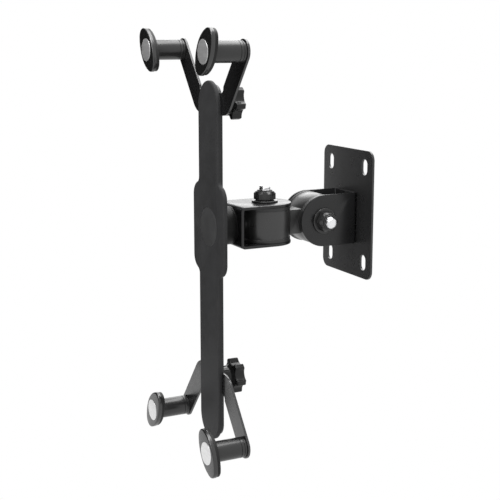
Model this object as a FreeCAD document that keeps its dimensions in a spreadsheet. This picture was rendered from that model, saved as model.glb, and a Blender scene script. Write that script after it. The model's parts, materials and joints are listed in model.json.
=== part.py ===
import FreeCAD, Part
import math
import os
import Sketcher
from FreeCAD import Placement, Rotation, Vector

# Tablet wall mount. The wall is the plane y = 0, +Z is up and the tablet is held out at -Y.
# The origin is the centre of the wall plate's back face.

# Driving sizes, in millimetres and degrees
SIZES = [
    ("plate_width", 65, "wall plate, side to side"),
    ("plate_height", 90, "wall plate, top to bottom"),
    ("plate_thickness", 1.5, "wall plate sheet"),
    ("plate_corner", 6.5, "wall plate corner radius"),
    ("plate_edge", 0.4, "rounding of the wall plate's front edge"),
    ("wall_slot_side", 10.25, "wall slot centre to the plate's side"),
    ("wall_slot_end", 11.5, "wall slot centre to the plate's top or bottom"),
    ("wall_slot_width", 7, "wall slot width"),
    ("wall_slot_length", 11, "wall slot, end to end"),
    ("arm_drop", 3, "arm axis below the plate centre"),
    ("clevis_outer", 28.2, "clevis, outside of one ear to outside of the other"),
    ("clevis_strap", 36, "clevis strap width and nose diameter"),
    ("clevis_sheet", 2, "clevis sheet"),
    ("clevis_reach", 26.5, "clevis, back of the base to the hinge axis"),
    ("clevis_bend", 3, "outside bend radius of the clevis"),
    ("knuckle_length", 39.2, "tilt axis to swivel axis"),
    ("eye_diameter", 34.8, "knuckle eyes"),
    ("web_height", 17, "knuckle web between its eyes"),
    ("web_blend", 1.5, "rounding along the knuckle web"),
    ("friction_thickness", 2.5, "friction washer"),
    ("friction_diameter", 35.2, "friction washer"),
    ("bolt_diameter", 8, "hinge bolts and pivot screw"),
    ("running_play", 0.05, "radial clearance of a shaft that turns"),
    ("bolt_tip", 0.8, "chamfer at a bolt's end"),
    ("head_diameter", 14, "low round head of a hinge bolt"),
    ("head_height", 2, "low round head of a hinge bolt"),
    ("head_key_across", 5, "hexagon socket of a hinge bolt"),
    ("head_key_depth", 1.2, "hexagon socket of a hinge bolt"),
    ("hex_across", 13, "lock nuts and thin nut, across flats"),
    ("washer_diameter", 18, "washer under a lock nut"),
    ("washer_thickness", 1.2, "washer under a lock nut"),
    ("nut_height", 5.6, "hexagon of a lock nut"),
    ("nut_crown", 1.6, "round crown of a lock nut"),
    ("tilt_bolt_end", 11, "tilt bolt beyond the clevis ear"),
    ("swivel_bolt_end", 11.4, "swivel bolt beyond the clevis ear"),
    ("hub_diameter", 26, "pivot hub behind the rail"),
    ("hub_length", 8.7, "pivot hub"),
    ("pivot_washer_thickness", 1, "plastic washer between hub and clevis"),
    ("pivot_head_diameter", 18, "flat head of the pivot screw"),
    ("pivot_head_height", 1.9, "flat head of the pivot screw"),
    ("pivot_key_across", 5, "hexagon socket in the pivot screw"),
    ("pivot_key_depth", 1.2, "hexagon socket in the pivot screw"),
    ("pivot_nut_height", 4, "thin nut inside the clevis"),
    ("pivot_nut_washer", 0.8, "washer under the thin nut"),
    ("pivot_nut_washer_diameter", 16, "washer under the thin nut"),
    ("pivot_screw_end", 0.5, "pivot screw beyond the thin nut"),
    ("rail_width", 20, "steel rail"),
    ("rail_thickness", 2, "steel rail"),
    ("rail_top", 94, "rail end above the arm axis"),
    ("rail_bottom", 146.5, "rail end below the arm axis"),
    ("rail_corner", 9.8, "rail end corners"),
    ("slot_play", 0.2, "clearance each side of a clamp bolt in its slot"),
    ("spacer_height", 56, "spacer between rail and cover"),
    ("spacer_play", 0.2, "clearance round the pivot screw's head"),
    ("cover_gap", 0.1, "running gap between an arm plate and the cover"),
    ("cover_thickness", 2.7, "front cover"),
    ("cover_width", 30.6, "front cover, narrow ends"),
    ("cover_wide", 49, "front cover, wide middle"),
    ("wide_top", 29, "wide middle above the arm axis"),
    ("wide_bottom", 31.5, "wide middle below the arm axis"),
    ("cover_past_top", 2.8, "cover beyond the rail's top end"),
    ("cover_past_bottom", 2.5, "cover beyond the rail's bottom end"),
    ("cover_end_radius", 13, "corners of the cover's ends"),
    ("shoulder_radius", 7, "outer corners of the wide middle"),
    ("shoulder_blend", 2, "inner corners beside the wide middle"),
    ("cover_edge", 1.2, "rounding of the cover's front edge"),
    ("rib_height", 2.6, "stop rib inside each cover end"),
    ("rib_length", 12, "stop rib, side to side"),
    ("rib_inset", 0.2, "stop rib inside the rail's end"),
    ("head_pocket_play", 0.5, "clearance of a clamp bolt's head in its pocket"),
    ("head_pocket_depth", 1.3, "pocket in the cover for a clamp bolt's head"),
    ("cap_diameter", 26, "round cap in the middle of the cover"),
    ("cap_flange", 1, "rim of the cap inside the cover"),
    ("cap_proud", 0.5, "cap in front of the cover"),
    ("cap_plug_diameter", 19.6, "plug behind the cap"),
    ("cap_plug_gap", 0.2, "plug in front of the pivot screw's head"),
    ("cap_play", 0.1, "clearance round the cap"),
    ("cover_screw_spacing", 44, "cover screws, one above the other"),
    ("cover_screw_diameter", 3, "cover screws"),
    ("cover_screw_bite", 1.5, "cover screw inside the cover"),
    ("cover_screw_head", 5.5, "cover screw head diameter"),
    ("cover_screw_head_height", 1.8, "cover screw head"),
    ("arm_thickness", 1.5, "V-shaped arm plate sheet"),
    ("arm_end_radius", 7.8, "round ends of the arm plate"),
    ("arm_edge", 0.3, "rounding of the arm plate's front edge"),
    ("spool_spread", 93.7, "spools, centre to centre across"),
    ("spool_rise", 33.3, "clamp bolt to spool, up"),
    ("web_back", 7.7, "clamp bolt to the outer edge of the arm plate"),
    ("web_half", 24.2, "half the outer edge of the arm plate"),
    ("web_corner", 14, "outer corners of the arm plate"),
    ("crotch_rise", 6.8, "clamp bolt to the crotch"),
    ("crotch_half", 18.5, "half the crotch"),
    ("crotch_side", 4, "straight side of the crotch"),
    ("crotch_corner", 3, "corner radius of the crotch"),
    ("top_clamp", 82.6, "top clamp bolt above the arm axis"),
    ("top_slide_up", 1.4, "top clamp's travel up"),
    ("top_slide_down", 37.6, "top clamp's travel down"),
    ("bottom_clamp", 106.2, "bottom clamp bolt below the arm axis"),
    ("bottom_slide_up", 59.2, "bottom clamp's travel up"),
    ("bottom_slide_down", 29.3, "bottom clamp's travel down"),
    ("clamp_diameter", 6, "clamp bolt"),
    ("clamp_head_diameter", 12, "clamp bolt's flat head"),
    ("clamp_head_height", 1.1, "clamp bolt's flat head"),
    ("clamp_neck", 6, "square neck of the clamp bolt"),
    ("clamp_neck_play", 0.1, "clearance each side of the square neck"),
    ("clamp_washer_diameter", 14, "washer under a star knob"),
    ("clamp_washer_thickness", 1.2, "washer under a star knob"),
    ("clamp_grip", 12, "clamp bolt inside its knob"),
    ("knob_diameter", 24, "star knob across its lobes"),
    ("knob_thickness", 7, "star of the knob"),
    ("knob_lobes", 6, "lobes of the star"),
    ("knob_scallop", 5.2, "radius of the hollow between two lobes"),
    ("knob_scallop_depth", 3.2, "depth of the hollow between two lobes"),
    ("knob_lobe_edge", 1.3, "rounding of a lobe's corners"),
    ("knob_neck_diameter", 13, "neck of the knob"),
    ("knob_neck_length", 8.3, "neck of the knob"),
    ("knob_turn", 13.3, "first hollow of the knob from upright, in degrees"),
    ("knob_neck_flare", 2, "widening where the neck meets the star"),
    ("knob_dome", 1.4, "dome on the back of the knob"),
    ("knob_dome_diameter", 14, "dome on the back of the knob"),
    ("insert_diameter", 9, "threaded insert of the knob"),
    ("insert_length", 13.5, "threaded insert of the knob"),
    ("sleeve_diameter", 14.2, "soft sleeve of a spool"),
    ("sleeve_length", 21.7, "arm plate to spool flange"),
    ("sleeve_edge", 0.6, "rounding at a sleeve's outer end"),
    ("post_diameter", 8, "steel post inside a sleeve"),
    ("post_play", 0.05, "clearance between post, sleeve and screw"),
    ("oval_length", 33, "spool flange, long way"),
    ("oval_width", 19.7, "spool flange, short way"),
    ("oval_end_radius", 6.5, "ends of the spool flange"),
    ("oval_tilt", 36.4, "long way of the flange from upright, in degrees"),
    ("flange_pad", 2.2, "inner layer of the spool flange"),
    ("flange_cap", 2.8, "outer layer of the spool flange"),
    ("flange_pad_inset", 0.35, "inner layer smaller than the outer one all round"),
    ("flange_edge", 0.8, "rounding of the flange's front edge"),
    ("disc_diameter", 15.2, "bare metal disc on the flange"),
    ("disc_thickness", 0.8, "bare metal disc"),
    ("disc_proud", 0.3, "disc in front of the flange"),
    ("disc_play", 0.1, "clearance round the disc"),
    ("screw_diameter", 5, "spool screw"),
    ("screw_head_diameter", 8, "spool screw head"),
    ("screw_head_height", 1.3, "spool screw head"),
    ("screw_bite", 1.8, "spool screw inside the flange's outer layer"),
]

# A hexagon's corner and flat positions as shares of its width across flats
HEX_CORNER = 1 / math.sqrt(3)
HEX_SLOPE = math.tan(math.radians(30))
# How far a cutting profile stands clear of the face that it starts from
CLEAR = 1


class Size:
    """A number together with the spreadsheet expression that gives it."""

    def __init__(self, number, text):
        self.number = float(number)
        self.text = text

    def __add__(self, other):
        return Size(self.number + number_of(other), "(%s + %s)" % (self.text, text_of(other)))

    def __sub__(self, other):
        return Size(self.number - number_of(other), "(%s - %s)" % (self.text, text_of(other)))

    def __mul__(self, other):
        return Size(self.number * number_of(other), "(%s * %s)" % (self.text, text_of(other)))

    def __truediv__(self, other):
        return Size(self.number / number_of(other), "(%s / %s)" % (self.text, text_of(other)))

    def __neg__(self):
        return Size(-self.number, "(0 - %s)" % self.text)


def number_of(value):
    return value.number if isinstance(value, Size) else float(value)


def text_of(value):
    return value.text if isinstance(value, Size) else "%.9g" % value


class Named:
    """Holds one Size for each row of the sheet."""


doc = FreeCAD.newDocument("tablet_wall_mount")
sheet = doc.addObject("Spreadsheet::Sheet", "Sizes")
s = Named()
for row, (name, value, note) in enumerate(SIZES, start=1):
    sheet.set("A%d" % row, name)
    sheet.set("B%d" % row, str(value))
    sheet.set("C%d" % row, note)
    sheet.setAlias("B%d" % row, name)
    setattr(s, name, Size(value, "Sizes." + name))
doc.recompute()

# Distances from the wall, piece by piece along the arm
tilt_out = s.plate_thickness + s.clevis_reach
swivel_out = tilt_out + s.knuckle_length
base_out = swivel_out + s.clevis_reach
hub_out = base_out + s.pivot_washer_thickness
rail_out = hub_out + s.hub_length
rail_front = rail_out + s.rail_thickness
arm_front = rail_front + s.arm_thickness
cover_out = arm_front + s.cover_gap
cover_front = cover_out + s.cover_thickness
# Height of the arm's axis
axis_up = -s.arm_drop
# Parts of the clevis stack
eye_width = s.clevis_outer - s.clevis_sheet * 2 - s.friction_thickness * 2
bolt_bore = s.bolt_diameter / 2 + s.running_play
washer_bore = s.bolt_diameter / 2 + s.running_play

# Turns that point a piece's own outward direction, -Y, along the mount's axes
TO_FRONT = Rotation()
TO_RIGHT = Rotation(Vector(0, 0, 1), 90)
TO_TOP = Rotation(Vector(1, 0, 0), -90)
HALF_TURN = Rotation(Vector(0, 1, 0), 180)

kept = []


def bind(item, prop, value):
    """Gives a property its value, tied to the sheet when it comes from there."""
    if isinstance(value, Size):
        item.setExpression(prop, value.text)
    else:
        setattr(item, prop, value)


def new_body(label):
    body = doc.addObject("PartDesign::Body", label)
    body.Label = label
    return body


def keep(item):
    """Marks an object as one of the pieces that are written out."""
    kept.append(item)
    return item


def place(item, x=0, out=0, up=0, turn=TO_FRONT):
    """Puts a piece to the right, away from the wall and up, and ties the place to the sheet."""
    y = -out if isinstance(out, Size) else -float(out)
    item.Placement = Placement(Vector(number_of(x), number_of(y), number_of(up)), turn)
    for axis, value in (("x", x), ("y", y), ("z", up)):
        if isinstance(value, Size):
            item.setExpression("Placement.Base." + axis, value.text)
    return item


def new_sketch(body, role="XZ_Plane", lift=0):
    """A sketch on one of the body's own planes, lifted along the plane's normal."""
    sketch = body.newObject("Sketcher::SketchObject", "Profile")
    plane = [item for item in body.Origin.OriginFeatures if item.Role == role][0]
    sketch.AttachmentSupport = [(plane, "")]
    sketch.MapMode = "FlatFace"
    sketch.AttachmentOffset = Placement(Vector(0, 0, number_of(lift)), Rotation())
    if isinstance(lift, Size):
        sketch.setExpression("AttachmentOffset.Base.z", lift.text)
    return sketch


def measure(sketch, kind, arguments, value):
    """Adds a dimension to a sketch and ties it to the sheet."""
    index = sketch.addConstraint(Sketcher.Constraint(kind, *arguments, number_of(value)))
    if isinstance(value, Size):
        sketch.setExpression("Constraints[%d]" % index, value.text)


def hold(sketch, edge, point, spot):
    """Holds a point of a sketch at a place measured from the sketch's origin."""
    for kind, axis, value in (("DistanceX", -2, spot[0]), ("DistanceY", -1, spot[1])):
        if isinstance(value, Size) or value:
            measure(sketch, kind, (-1, 1, edge, point), value)
        else:
            sketch.addConstraint(Sketcher.Constraint("PointOnObject", edge, point, axis))


def spot_of(corner):
    return Vector(number_of(corner[0]), number_of(corner[1]), 0)


def outline(sketch, corners):
    """A closed outline of straight lines through corners."""
    first = sketch.GeometryCount
    count = len(corners)
    for i in range(count):
        sketch.addGeometry(Part.LineSegment(spot_of(corners[i]), spot_of(corners[(i + 1) % count])), False)
    for i in range(count):
        follower = first + (i + 1) % count
        sketch.addConstraint(Sketcher.Constraint("Coincident", first + i, 2, follower, 1))
    for i in range(count):
        hold(sketch, first + i, 1, corners[i])
    return sketch


def rectangle(sketch, left, right, low, high):
    return outline(sketch, [(left, low), (right, low), (right, high), (left, high)])


def circle(sketch, radius, centre=(0, 0)):
    edge = sketch.addGeometry(Part.Circle(spot_of(centre), Vector(0, 0, 1), number_of(radius)), False)
    hold(sketch, edge, 3, centre)
    measure(sketch, "Radius", (edge,), radius)
    return sketch


def arc(sketch, centre, radius, start, end):
    """An arc held by its centre and radius, from one angle to another."""
    whole = Part.Circle(spot_of(centre), Vector(0, 0, 1), number_of(radius))
    edge = sketch.addGeometry(Part.ArcOfCircle(whole, start, end), False)
    hold(sketch, edge, 3, centre)
    measure(sketch, "Radius", (edge,), radius)
    return edge


def upright_slot(sketch, radius, x, low, high):
    """A round-ended slot whose end centres are at low and high."""
    top = arc(sketch, (x, high), radius, 0, math.pi)
    bottom = arc(sketch, (x, low), radius, math.pi, 2 * math.pi)
    reach = number_of(radius)
    across = number_of(x)
    for first, last, side in ((top, bottom, -reach), (bottom, top, reach)):
        from_end = Vector(across + side, number_of(high if first == top else low), 0)
        to_end = Vector(across + side, number_of(low if first == top else high), 0)
        edge = sketch.addGeometry(Part.LineSegment(from_end, to_end), False)
        sketch.addConstraint(Sketcher.Constraint("Tangent", first, 2, edge, 1))
        sketch.addConstraint(Sketcher.Constraint("Tangent", edge, 2, last, 1))
    return sketch


def hexagon(sketch, across):
    """A hexagon about the origin with two corners up and down."""
    turns = [math.radians(30 + 60 * i) for i in range(6)]
    corner = across * HEX_CORNER
    spots = [(corner * math.cos(turn), corner * math.sin(turn)) for turn in turns]
    spots[1] = (0, corner)
    spots[4] = (0, -corner)
    return outline(sketch, spots)


def extrude(body, kind, sketch, length, both=False, back=False):
    feature = body.newObject("PartDesign::" + kind, kind)
    feature.Profile = sketch
    feature.SideType = "Symmetric" if both else "One side"
    feature.Reversed = back
    bind(feature, "Length", length)
    return feature


def pad(body, sketch, length, both=False, back=False):
    return extrude(body, "Pad", sketch, length, both, back)


def pocket(body, sketch, depth, both=False, back=False):
    """Cuts a profile out of the body, and makes sure that it met the solid."""
    doc.recompute()
    before = body.Shape.Volume
    feature = extrude(body, "Pocket", sketch, depth, both, back)
    doc.recompute()
    if body.Shape.Volume > before - 0.01:
        raise ValueError("A pocket in %s cuts nothing" % body.Label)
    return feature


def turn_profile(body, kind, corners):
    """Turns a profile of (radius, distance out) pairs about the outward axis."""
    sketch = new_sketch(body, "XY_Plane")
    outline(sketch, [(radius, -out if isinstance(out, Size) or out else 0) for radius, out in corners])
    feature = body.newObject("PartDesign::" + kind, kind)
    feature.Profile = sketch
    feature.ReferenceAxis = (sketch, ["V_Axis"])
    feature.Angle = 360
    return feature


def ring(label, inner, outer, length):
    body = new_body(label)
    turn_profile(body, "Revolution", [(inner, 0), (outer, 0), (outer, length), (inner, length)])
    return body


def soften(body, kind, size, chosen):
    """Rounds or bevels the edges of the body's present shape that the test chooses."""
    doc.recompute()
    base = body.Tip
    names = ["Edge%d" % (i + 1) for i, edge in enumerate(base.Shape.Edges) if chosen(edge)]
    if not names:
        raise ValueError("No edge to soften in %s" % body.Label)
    feature = body.newObject("PartDesign::" + kind, kind)
    feature.Base = (base, names)
    bind(feature, "Radius" if kind == "Fillet" else "Size", size)
    return feature


def along(direction):
    """A test for straight edges that run along a direction."""
    def chosen(edge):
        if edge.Curve.TypeId != "Part::GeomLine":
            return False
        return abs(abs(edge.Curve.Direction.dot(direction)) - 1) < 1e-6
    return chosen


def near(direction, spots):
    """A test for straight edges along a direction that pass through one of the spots."""
    straight = along(direction)

    def chosen(edge):
        if not straight(edge):
            return False
        middle = edge.CenterOfMass
        for spot in spots:
            gap = middle - spot
            if (gap - direction * gap.dot(direction)).Length < 0.01:
                return True
        return False
    return chosen


def on_level(y):
    """A test for edges that lie wholly at one distance from the wall."""
    def chosen(edge):
        box = edge.BoundBox
        return abs(box.YMin - y) < 1e-6 and abs(box.YMax - y) < 1e-6
    return chosen


DEPTH = Vector(0, 1, 0)
UPRIGHT = Vector(0, 0, 1)


def group(label, pieces):
    """One node of several like pieces that stay separate solids."""
    item = doc.addObject("Part::Compound", label)
    item.Label = label
    item.Links = pieces
    return item


# Wall plate
def make_wall_plate():
    body = new_body("wall_plate")
    sketch = new_sketch(body)
    rectangle(sketch, -s.plate_width / 2, s.plate_width / 2, -s.plate_height / 2, s.plate_height / 2)
    pad(body, sketch, s.plate_thickness)
    soften(body, "Fillet", s.plate_corner, along(DEPTH))
    soften(body, "Fillet", s.plate_edge, on_level(-number_of(s.plate_thickness)))
    slots = new_sketch(body)
    radius = s.wall_slot_width / 2
    half_run = s.wall_slot_length / 2 - radius
    across = s.plate_width / 2 - s.wall_slot_side
    rise = s.plate_height / 2 - s.wall_slot_end
    for x in (-across, across):
        for up in (-rise, rise):
            upright_slot(slots, radius, x, up - half_run, up + half_run)
    pocket(body, slots, s.plate_thickness * 2, both=True)
    return keep(body)


# U-shaped clevis: its own frame has the hinge axis along X, the base at +Y and the nose at -Y
def make_clevis(label, base_hole):
    body = new_body(label)
    half = s.clevis_strap / 2
    side = new_sketch(body, "YZ_Plane")
    base_low = spot_of((s.clevis_reach, -half))
    base_high = spot_of((s.clevis_reach, half))
    nose = arc(side, (0, 0), half, math.pi / 2, 3 * math.pi / 2)
    top = side.addGeometry(Part.LineSegment(base_high, spot_of((0, half))), False)
    back = side.addGeometry(Part.LineSegment(base_low, base_high), False)
    low = side.addGeometry(Part.LineSegment(spot_of((0, -half)), base_low), False)
    side.addConstraint(Sketcher.Constraint("Tangent", top, 2, nose, 1))
    side.addConstraint(Sketcher.Constraint("Tangent", nose, 2, low, 1))
    side.addConstraint(Sketcher.Constraint("Coincident", low, 2, back, 1))
    side.addConstraint(Sketcher.Constraint("Coincident", back, 2, top, 1))
    hold(side, top, 1, (s.clevis_reach, half))
    hold(side, back, 1, (s.clevis_reach, -half))
    pad(body, side, s.clevis_outer, both=True)
    gap = new_sketch(body, "XY_Plane")
    inner = s.clevis_outer / 2 - s.clevis_sheet
    rectangle(gap, -inner, inner, -(half + CLEAR), s.clevis_reach - s.clevis_sheet)
    pocket(body, gap, s.clevis_strap * 2, both=True)
    edge_x = number_of(s.clevis_outer) / 2
    edge_y = number_of(s.clevis_reach)
    bends = [Vector(edge_x, edge_y, 0), Vector(-edge_x, edge_y, 0)]
    soften(body, "Fillet", s.clevis_bend, near(UPRIGHT, bends))
    folds = [Vector(x * number_of(inner), edge_y - number_of(s.clevis_sheet), 0) for x in (1, -1)]
    soften(body, "Fillet", s.clevis_bend - s.clevis_sheet, near(UPRIGHT, folds))
    ears = circle(new_sketch(body, "YZ_Plane"), bolt_bore)
    pocket(body, ears, s.clevis_outer * 2, both=True)
    if base_hole:
        pivot = circle(new_sketch(body, "XZ_Plane", -(s.clevis_reach + CLEAR)), bolt_bore)
        pocket(body, pivot, s.clevis_sheet + CLEAR * 2, back=True)
    return keep(body)


# Knuckle: one casting with an eye for each hinge bolt and a web between them
def make_knuckle():
    body = new_body("knuckle")
    eye = s.eye_diameter / 2
    pad(body, circle(new_sketch(body, "YZ_Plane"), eye), eye_width, both=True)
    swivel_eye = circle(new_sketch(body, "XY_Plane"), eye, (0, -s.knuckle_length))
    pad(body, swivel_eye, eye_width, both=True)
    web = new_sketch(body, "XY_Plane")
    rectangle(web, -s.web_height / 2, s.web_height / 2, -(s.knuckle_length - eye / 2), -eye / 2)
    pad(body, web, s.web_height, both=True)
    pocket(body, circle(new_sketch(body, "YZ_Plane"), bolt_bore), eye_width * 2, both=True)
    swivel_bore = circle(new_sketch(body, "XY_Plane"), bolt_bore, (0, -s.knuckle_length))
    pocket(body, swivel_bore, eye_width * 2, both=True)
    return keep(body)


def bevel_hexagon(body, across, level, outward):
    """Takes the corners off a hexagon's end face, which lies at a distance out."""
    slope = across * (0.12 * HEX_SLOPE)
    inner = across / 2
    outer = across * 0.62
    end = (level - slope) if outward else (level + slope)
    turn_profile(body, "Groove", [(inner, level), (outer, level), (outer, end)])


# Bolt with a low round head and a hexagon socket: the head bears at distance 0 and the shank runs outwards
def make_bolt(label, length):
    body = new_body(label)
    radius = s.bolt_diameter / 2
    head = s.head_diameter / 2
    edge = s.head_height / 4
    profile = [(0, -s.head_height), (head - edge, -s.head_height), (head, -(s.head_height - edge)), (head, 0),
               (radius, 0), (radius, length - s.bolt_tip), (radius - s.bolt_tip, length), (0, length)]
    turn_profile(body, "Revolution", profile)
    pocket(body, hexagon(new_sketch(body, "XZ_Plane", -s.head_height), s.head_key_across), s.head_key_depth,
           back=True)
    return keep(body)


# Lock nut with a round crown over its locking ring
def make_lock_nut(label):
    body = new_body(label)
    pad(body, hexagon(new_sketch(body), s.hex_across), s.nut_height)
    bevel_hexagon(body, s.hex_across, s.nut_height, outward=True)
    top = s.nut_height + s.nut_crown
    wide = s.hex_across * 0.44
    crown = [(bolt_bore, s.nut_height), (wide, s.nut_height), (wide, top - s.bolt_tip),
             (wide - s.bolt_tip, top), (bolt_bore, top)]
    turn_profile(body, "Revolution", crown)
    pocket(body, circle(new_sketch(body), bolt_bore), top * 3, both=True)
    return keep(body)


# The bolt, nut, washer and friction washers of one hinge, along the direction that turn points to
def make_hinge_hardware(name, out, up, turn, bolt_end):
    ear = s.clevis_outer / 2
    length = s.clevis_outer + bolt_end
    arrow = turn.multVec(Vector(0, -1, 0))

    def along_axis(item, distance):
        """Places a piece on the hinge axis at a distance from the arm's centre line."""
        x = distance * arrow.x if abs(arrow.x) > 0.5 else 0
        rise = up + distance * arrow.z if abs(arrow.z) > 0.5 else up
        return place(item, x, out, rise, turn)

    along_axis(make_bolt(name + "_bolt", length), -ear)
    along_axis(make_lock_nut(name + "_nut"), ear + s.washer_thickness)
    washer = ring(name + "_washer", washer_bore, s.washer_diameter / 2, s.washer_thickness)
    keep(along_axis(washer, ear))
    pads = []
    for end, pad_at in (("first", eye_width / 2), ("last", -(ear - s.clevis_sheet))):
        liner = ring("%s_liner_%s" % (name, end), bolt_bore, s.friction_diameter / 2, s.friction_thickness)
        pads.append(along_axis(liner, pad_at))
    keep(group(name + "_friction_washers", pads))


# Pivot: the hub behind the rail, its screw, and the thin nut inside the clevis
def make_pivot():
    washer = ring("pivot_washer", bolt_bore, s.hub_diameter / 2, s.pivot_washer_thickness)
    keep(place(washer, 0, base_out, axis_up))
    hub = ring("pivot_hub", bolt_bore, s.hub_diameter / 2, s.hub_length)
    keep(place(hub, 0, hub_out, axis_up))
    inside = s.clevis_sheet + s.pivot_nut_washer + s.pivot_nut_height + s.pivot_screw_end
    length = inside + s.pivot_washer_thickness + s.hub_length + s.rail_thickness
    screw = new_body("pivot_screw")
    radius = s.bolt_diameter / 2
    head = s.pivot_head_diameter / 2
    profile = [(0, s.pivot_head_height), (head, s.pivot_head_height), (head, 0), (radius, 0),
               (radius, -(length - s.bolt_tip)), (radius - s.bolt_tip, -length), (0, -length)]
    turn_profile(screw, "Revolution", profile)
    key = hexagon(new_sketch(screw, "XZ_Plane", s.pivot_head_height), s.pivot_key_across)
    pocket(screw, key, s.pivot_key_depth)
    keep(place(screw, 0, rail_front, axis_up))
    nut_washer = ring("pivot_nut_washer", washer_bore, s.pivot_nut_washer_diameter / 2, s.pivot_nut_washer)
    washer_at = base_out - s.clevis_sheet - s.pivot_nut_washer
    keep(place(nut_washer, 0, washer_at, axis_up))
    nut = new_body("pivot_nut")
    pad(nut, hexagon(new_sketch(nut), s.hex_across), s.pivot_nut_height)
    bevel_hexagon(nut, s.hex_across, s.pivot_nut_height, outward=True)
    pocket(nut, circle(new_sketch(nut), washer_bore), s.pivot_nut_height * 3, both=True)
    keep(place(nut, 0, washer_at - s.pivot_nut_height, axis_up))


# Steel rail with a long slot for each clamp bolt
def make_rail():
    body = new_body("back_rail")
    half = s.rail_width / 2
    sketch = rectangle(new_sketch(body), -half, half, -s.rail_bottom, s.rail_top)
    pad(body, sketch, s.rail_thickness)
    soften(body, "Fillet", s.rail_corner, along(DEPTH))
    holes = new_sketch(body)
    radius = s.clamp_diameter / 2 + s.slot_play
    upright_slot(holes, radius, 0, s.top_clamp - s.top_slide_down, s.top_clamp + s.top_slide_up)
    upright_slot(holes, radius, 0, -(s.bottom_clamp + s.bottom_slide_down), -(s.bottom_clamp - s.bottom_slide_up))
    circle(holes, bolt_bore)
    add_cover_screw_holes(holes)
    pocket(body, holes, s.rail_thickness * 3, both=True)
    return keep(place(body, 0, rail_out, axis_up))


def add_cover_screw_holes(sketch):
    radius = s.cover_screw_diameter / 2 + s.running_play
    for up in (-s.cover_screw_spacing / 2, s.cover_screw_spacing / 2):
        circle(sketch, radius, (0, up))


# Spacer that holds the cover one arm plate away from the rail
def make_spacer():
    body = new_body("centre_spacer")
    half = s.rail_width / 2
    sketch = rectangle(new_sketch(body), -half, half, -s.spacer_height / 2, s.spacer_height / 2)
    pad(body, sketch, s.arm_thickness + s.cover_gap)
    holes = circle(new_sketch(body), s.pivot_head_diameter / 2 + s.spacer_play)
    add_cover_screw_holes(holes)
    pocket(body, holes, s.rail_thickness * 3, both=True)
    return keep(place(body, 0, rail_front, axis_up))


# Front cover: narrow ends, a wide middle, and pockets behind for what moves
def make_cover():
    body = new_body("front_cover")
    narrow = s.cover_width / 2
    wide = s.cover_wide / 2
    cover_top = s.rail_top + s.cover_past_top
    cover_low = -(s.rail_bottom + s.cover_past_bottom)
    right = [(narrow, cover_low), (narrow, -s.wide_bottom), (wide, -s.wide_bottom),
             (wide, s.wide_top), (narrow, s.wide_top), (narrow, cover_top)]
    left = [(-x, up) for x, up in reversed(right)]
    pad(body, outline(new_sketch(body), right + left), s.cover_thickness)

    def corners(x, ups):
        return [Vector(side * number_of(x), 0, number_of(up)) for side in (1, -1) for up in ups]

    soften(body, "Fillet", s.cover_end_radius, near(DEPTH, corners(narrow, (cover_top, cover_low))))
    soften(body, "Fillet", s.shoulder_radius, near(DEPTH, corners(wide, (s.wide_top, -s.wide_bottom))))
    soften(body, "Fillet", s.shoulder_blend, near(DEPTH, corners(narrow, (s.wide_top, -s.wide_bottom))))
    soften(body, "Fillet", s.cover_edge, on_level(-number_of(s.cover_thickness)))
    ribs = new_sketch(body)
    rib_half = s.rib_length / 2
    top = s.rail_top - s.rib_inset
    bottom = -(s.rail_bottom - s.rib_inset)
    rectangle(ribs, -rib_half, rib_half, top - s.rib_height, top)
    rectangle(ribs, -rib_half, rib_half, bottom, bottom + s.rib_height)
    pad(body, ribs, s.arm_thickness + s.cover_gap, back=True)
    heads = new_sketch(body)
    radius = s.clamp_head_diameter / 2 + s.head_pocket_play
    upright_slot(heads, radius, 0, s.top_clamp - s.top_slide_down, s.top_clamp + s.top_slide_up)
    upright_slot(heads, radius, 0, -(s.bottom_clamp + s.bottom_slide_down), -(s.bottom_clamp - s.bottom_slide_up))
    pocket(body, heads, s.head_pocket_depth, back=True)
    screws = new_sketch(body)
    add_cover_screw_holes(screws)
    pocket(body, screws, s.cover_screw_bite + s.running_play, back=True)
    access = circle(new_sketch(body), s.cap_plug_diameter / 2 + s.cap_play)
    pocket(body, access, s.cover_thickness * 3, both=True)
    recess = circle(new_sketch(body, "XZ_Plane", s.cover_thickness), s.cap_diameter / 2 + s.cap_play)
    pocket(body, recess, s.cap_flange)
    return keep(place(body, 0, cover_out, axis_up))


# Domed cap that closes the hole over the pivot screw
def make_cap():
    body = new_body("centre_cap")
    seat = s.cover_thickness - s.cap_flange
    rim = s.cap_diameter / 2
    plug = s.cap_plug_diameter / 2
    plug_back = s.pivot_head_height + s.cap_plug_gap - s.arm_thickness - s.cover_gap
    face = s.cap_flange + s.cap_proud
    profile = [(0, -seat + plug_back), (plug, -seat + plug_back), (plug, 0), (rim, 0),
               (rim, s.cap_flange), (rim - s.cap_proud * 2, face - s.cap_proud / 4), (0, face)]
    turn_profile(body, "Revolution", profile)
    return keep(place(body, 0, cover_front - s.cap_flange, axis_up))


# Screw with a low round head: the head bears at distance 0 and the shank runs outwards
def make_pan_screw(label, diameter, length, head_diameter, head_height):
    body = new_body(label)
    radius = diameter / 2
    head = head_diameter / 2
    tip = radius * 0.2
    profile = [(0, -head_height), (head * 0.7, -head_height), (head, -head_height * 0.6), (head, 0), (radius, 0),
               (radius, length - tip), (radius - tip, length), (0, length)]
    turn_profile(body, "Revolution", profile)
    return body


def make_cover_screws():
    length = s.rail_thickness + s.arm_thickness + s.cover_gap + s.cover_screw_bite
    screws = []
    for end, up in (("low", -s.cover_screw_spacing / 2), ("high", s.cover_screw_spacing / 2)):
        screw = make_pan_screw("cover_screw_" + end, s.cover_screw_diameter, length,
                               s.cover_screw_head, s.cover_screw_head_height)
        screws.append(place(screw, 0, rail_out, axis_up + up))
    keep(group("cover_screws", screws))


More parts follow.
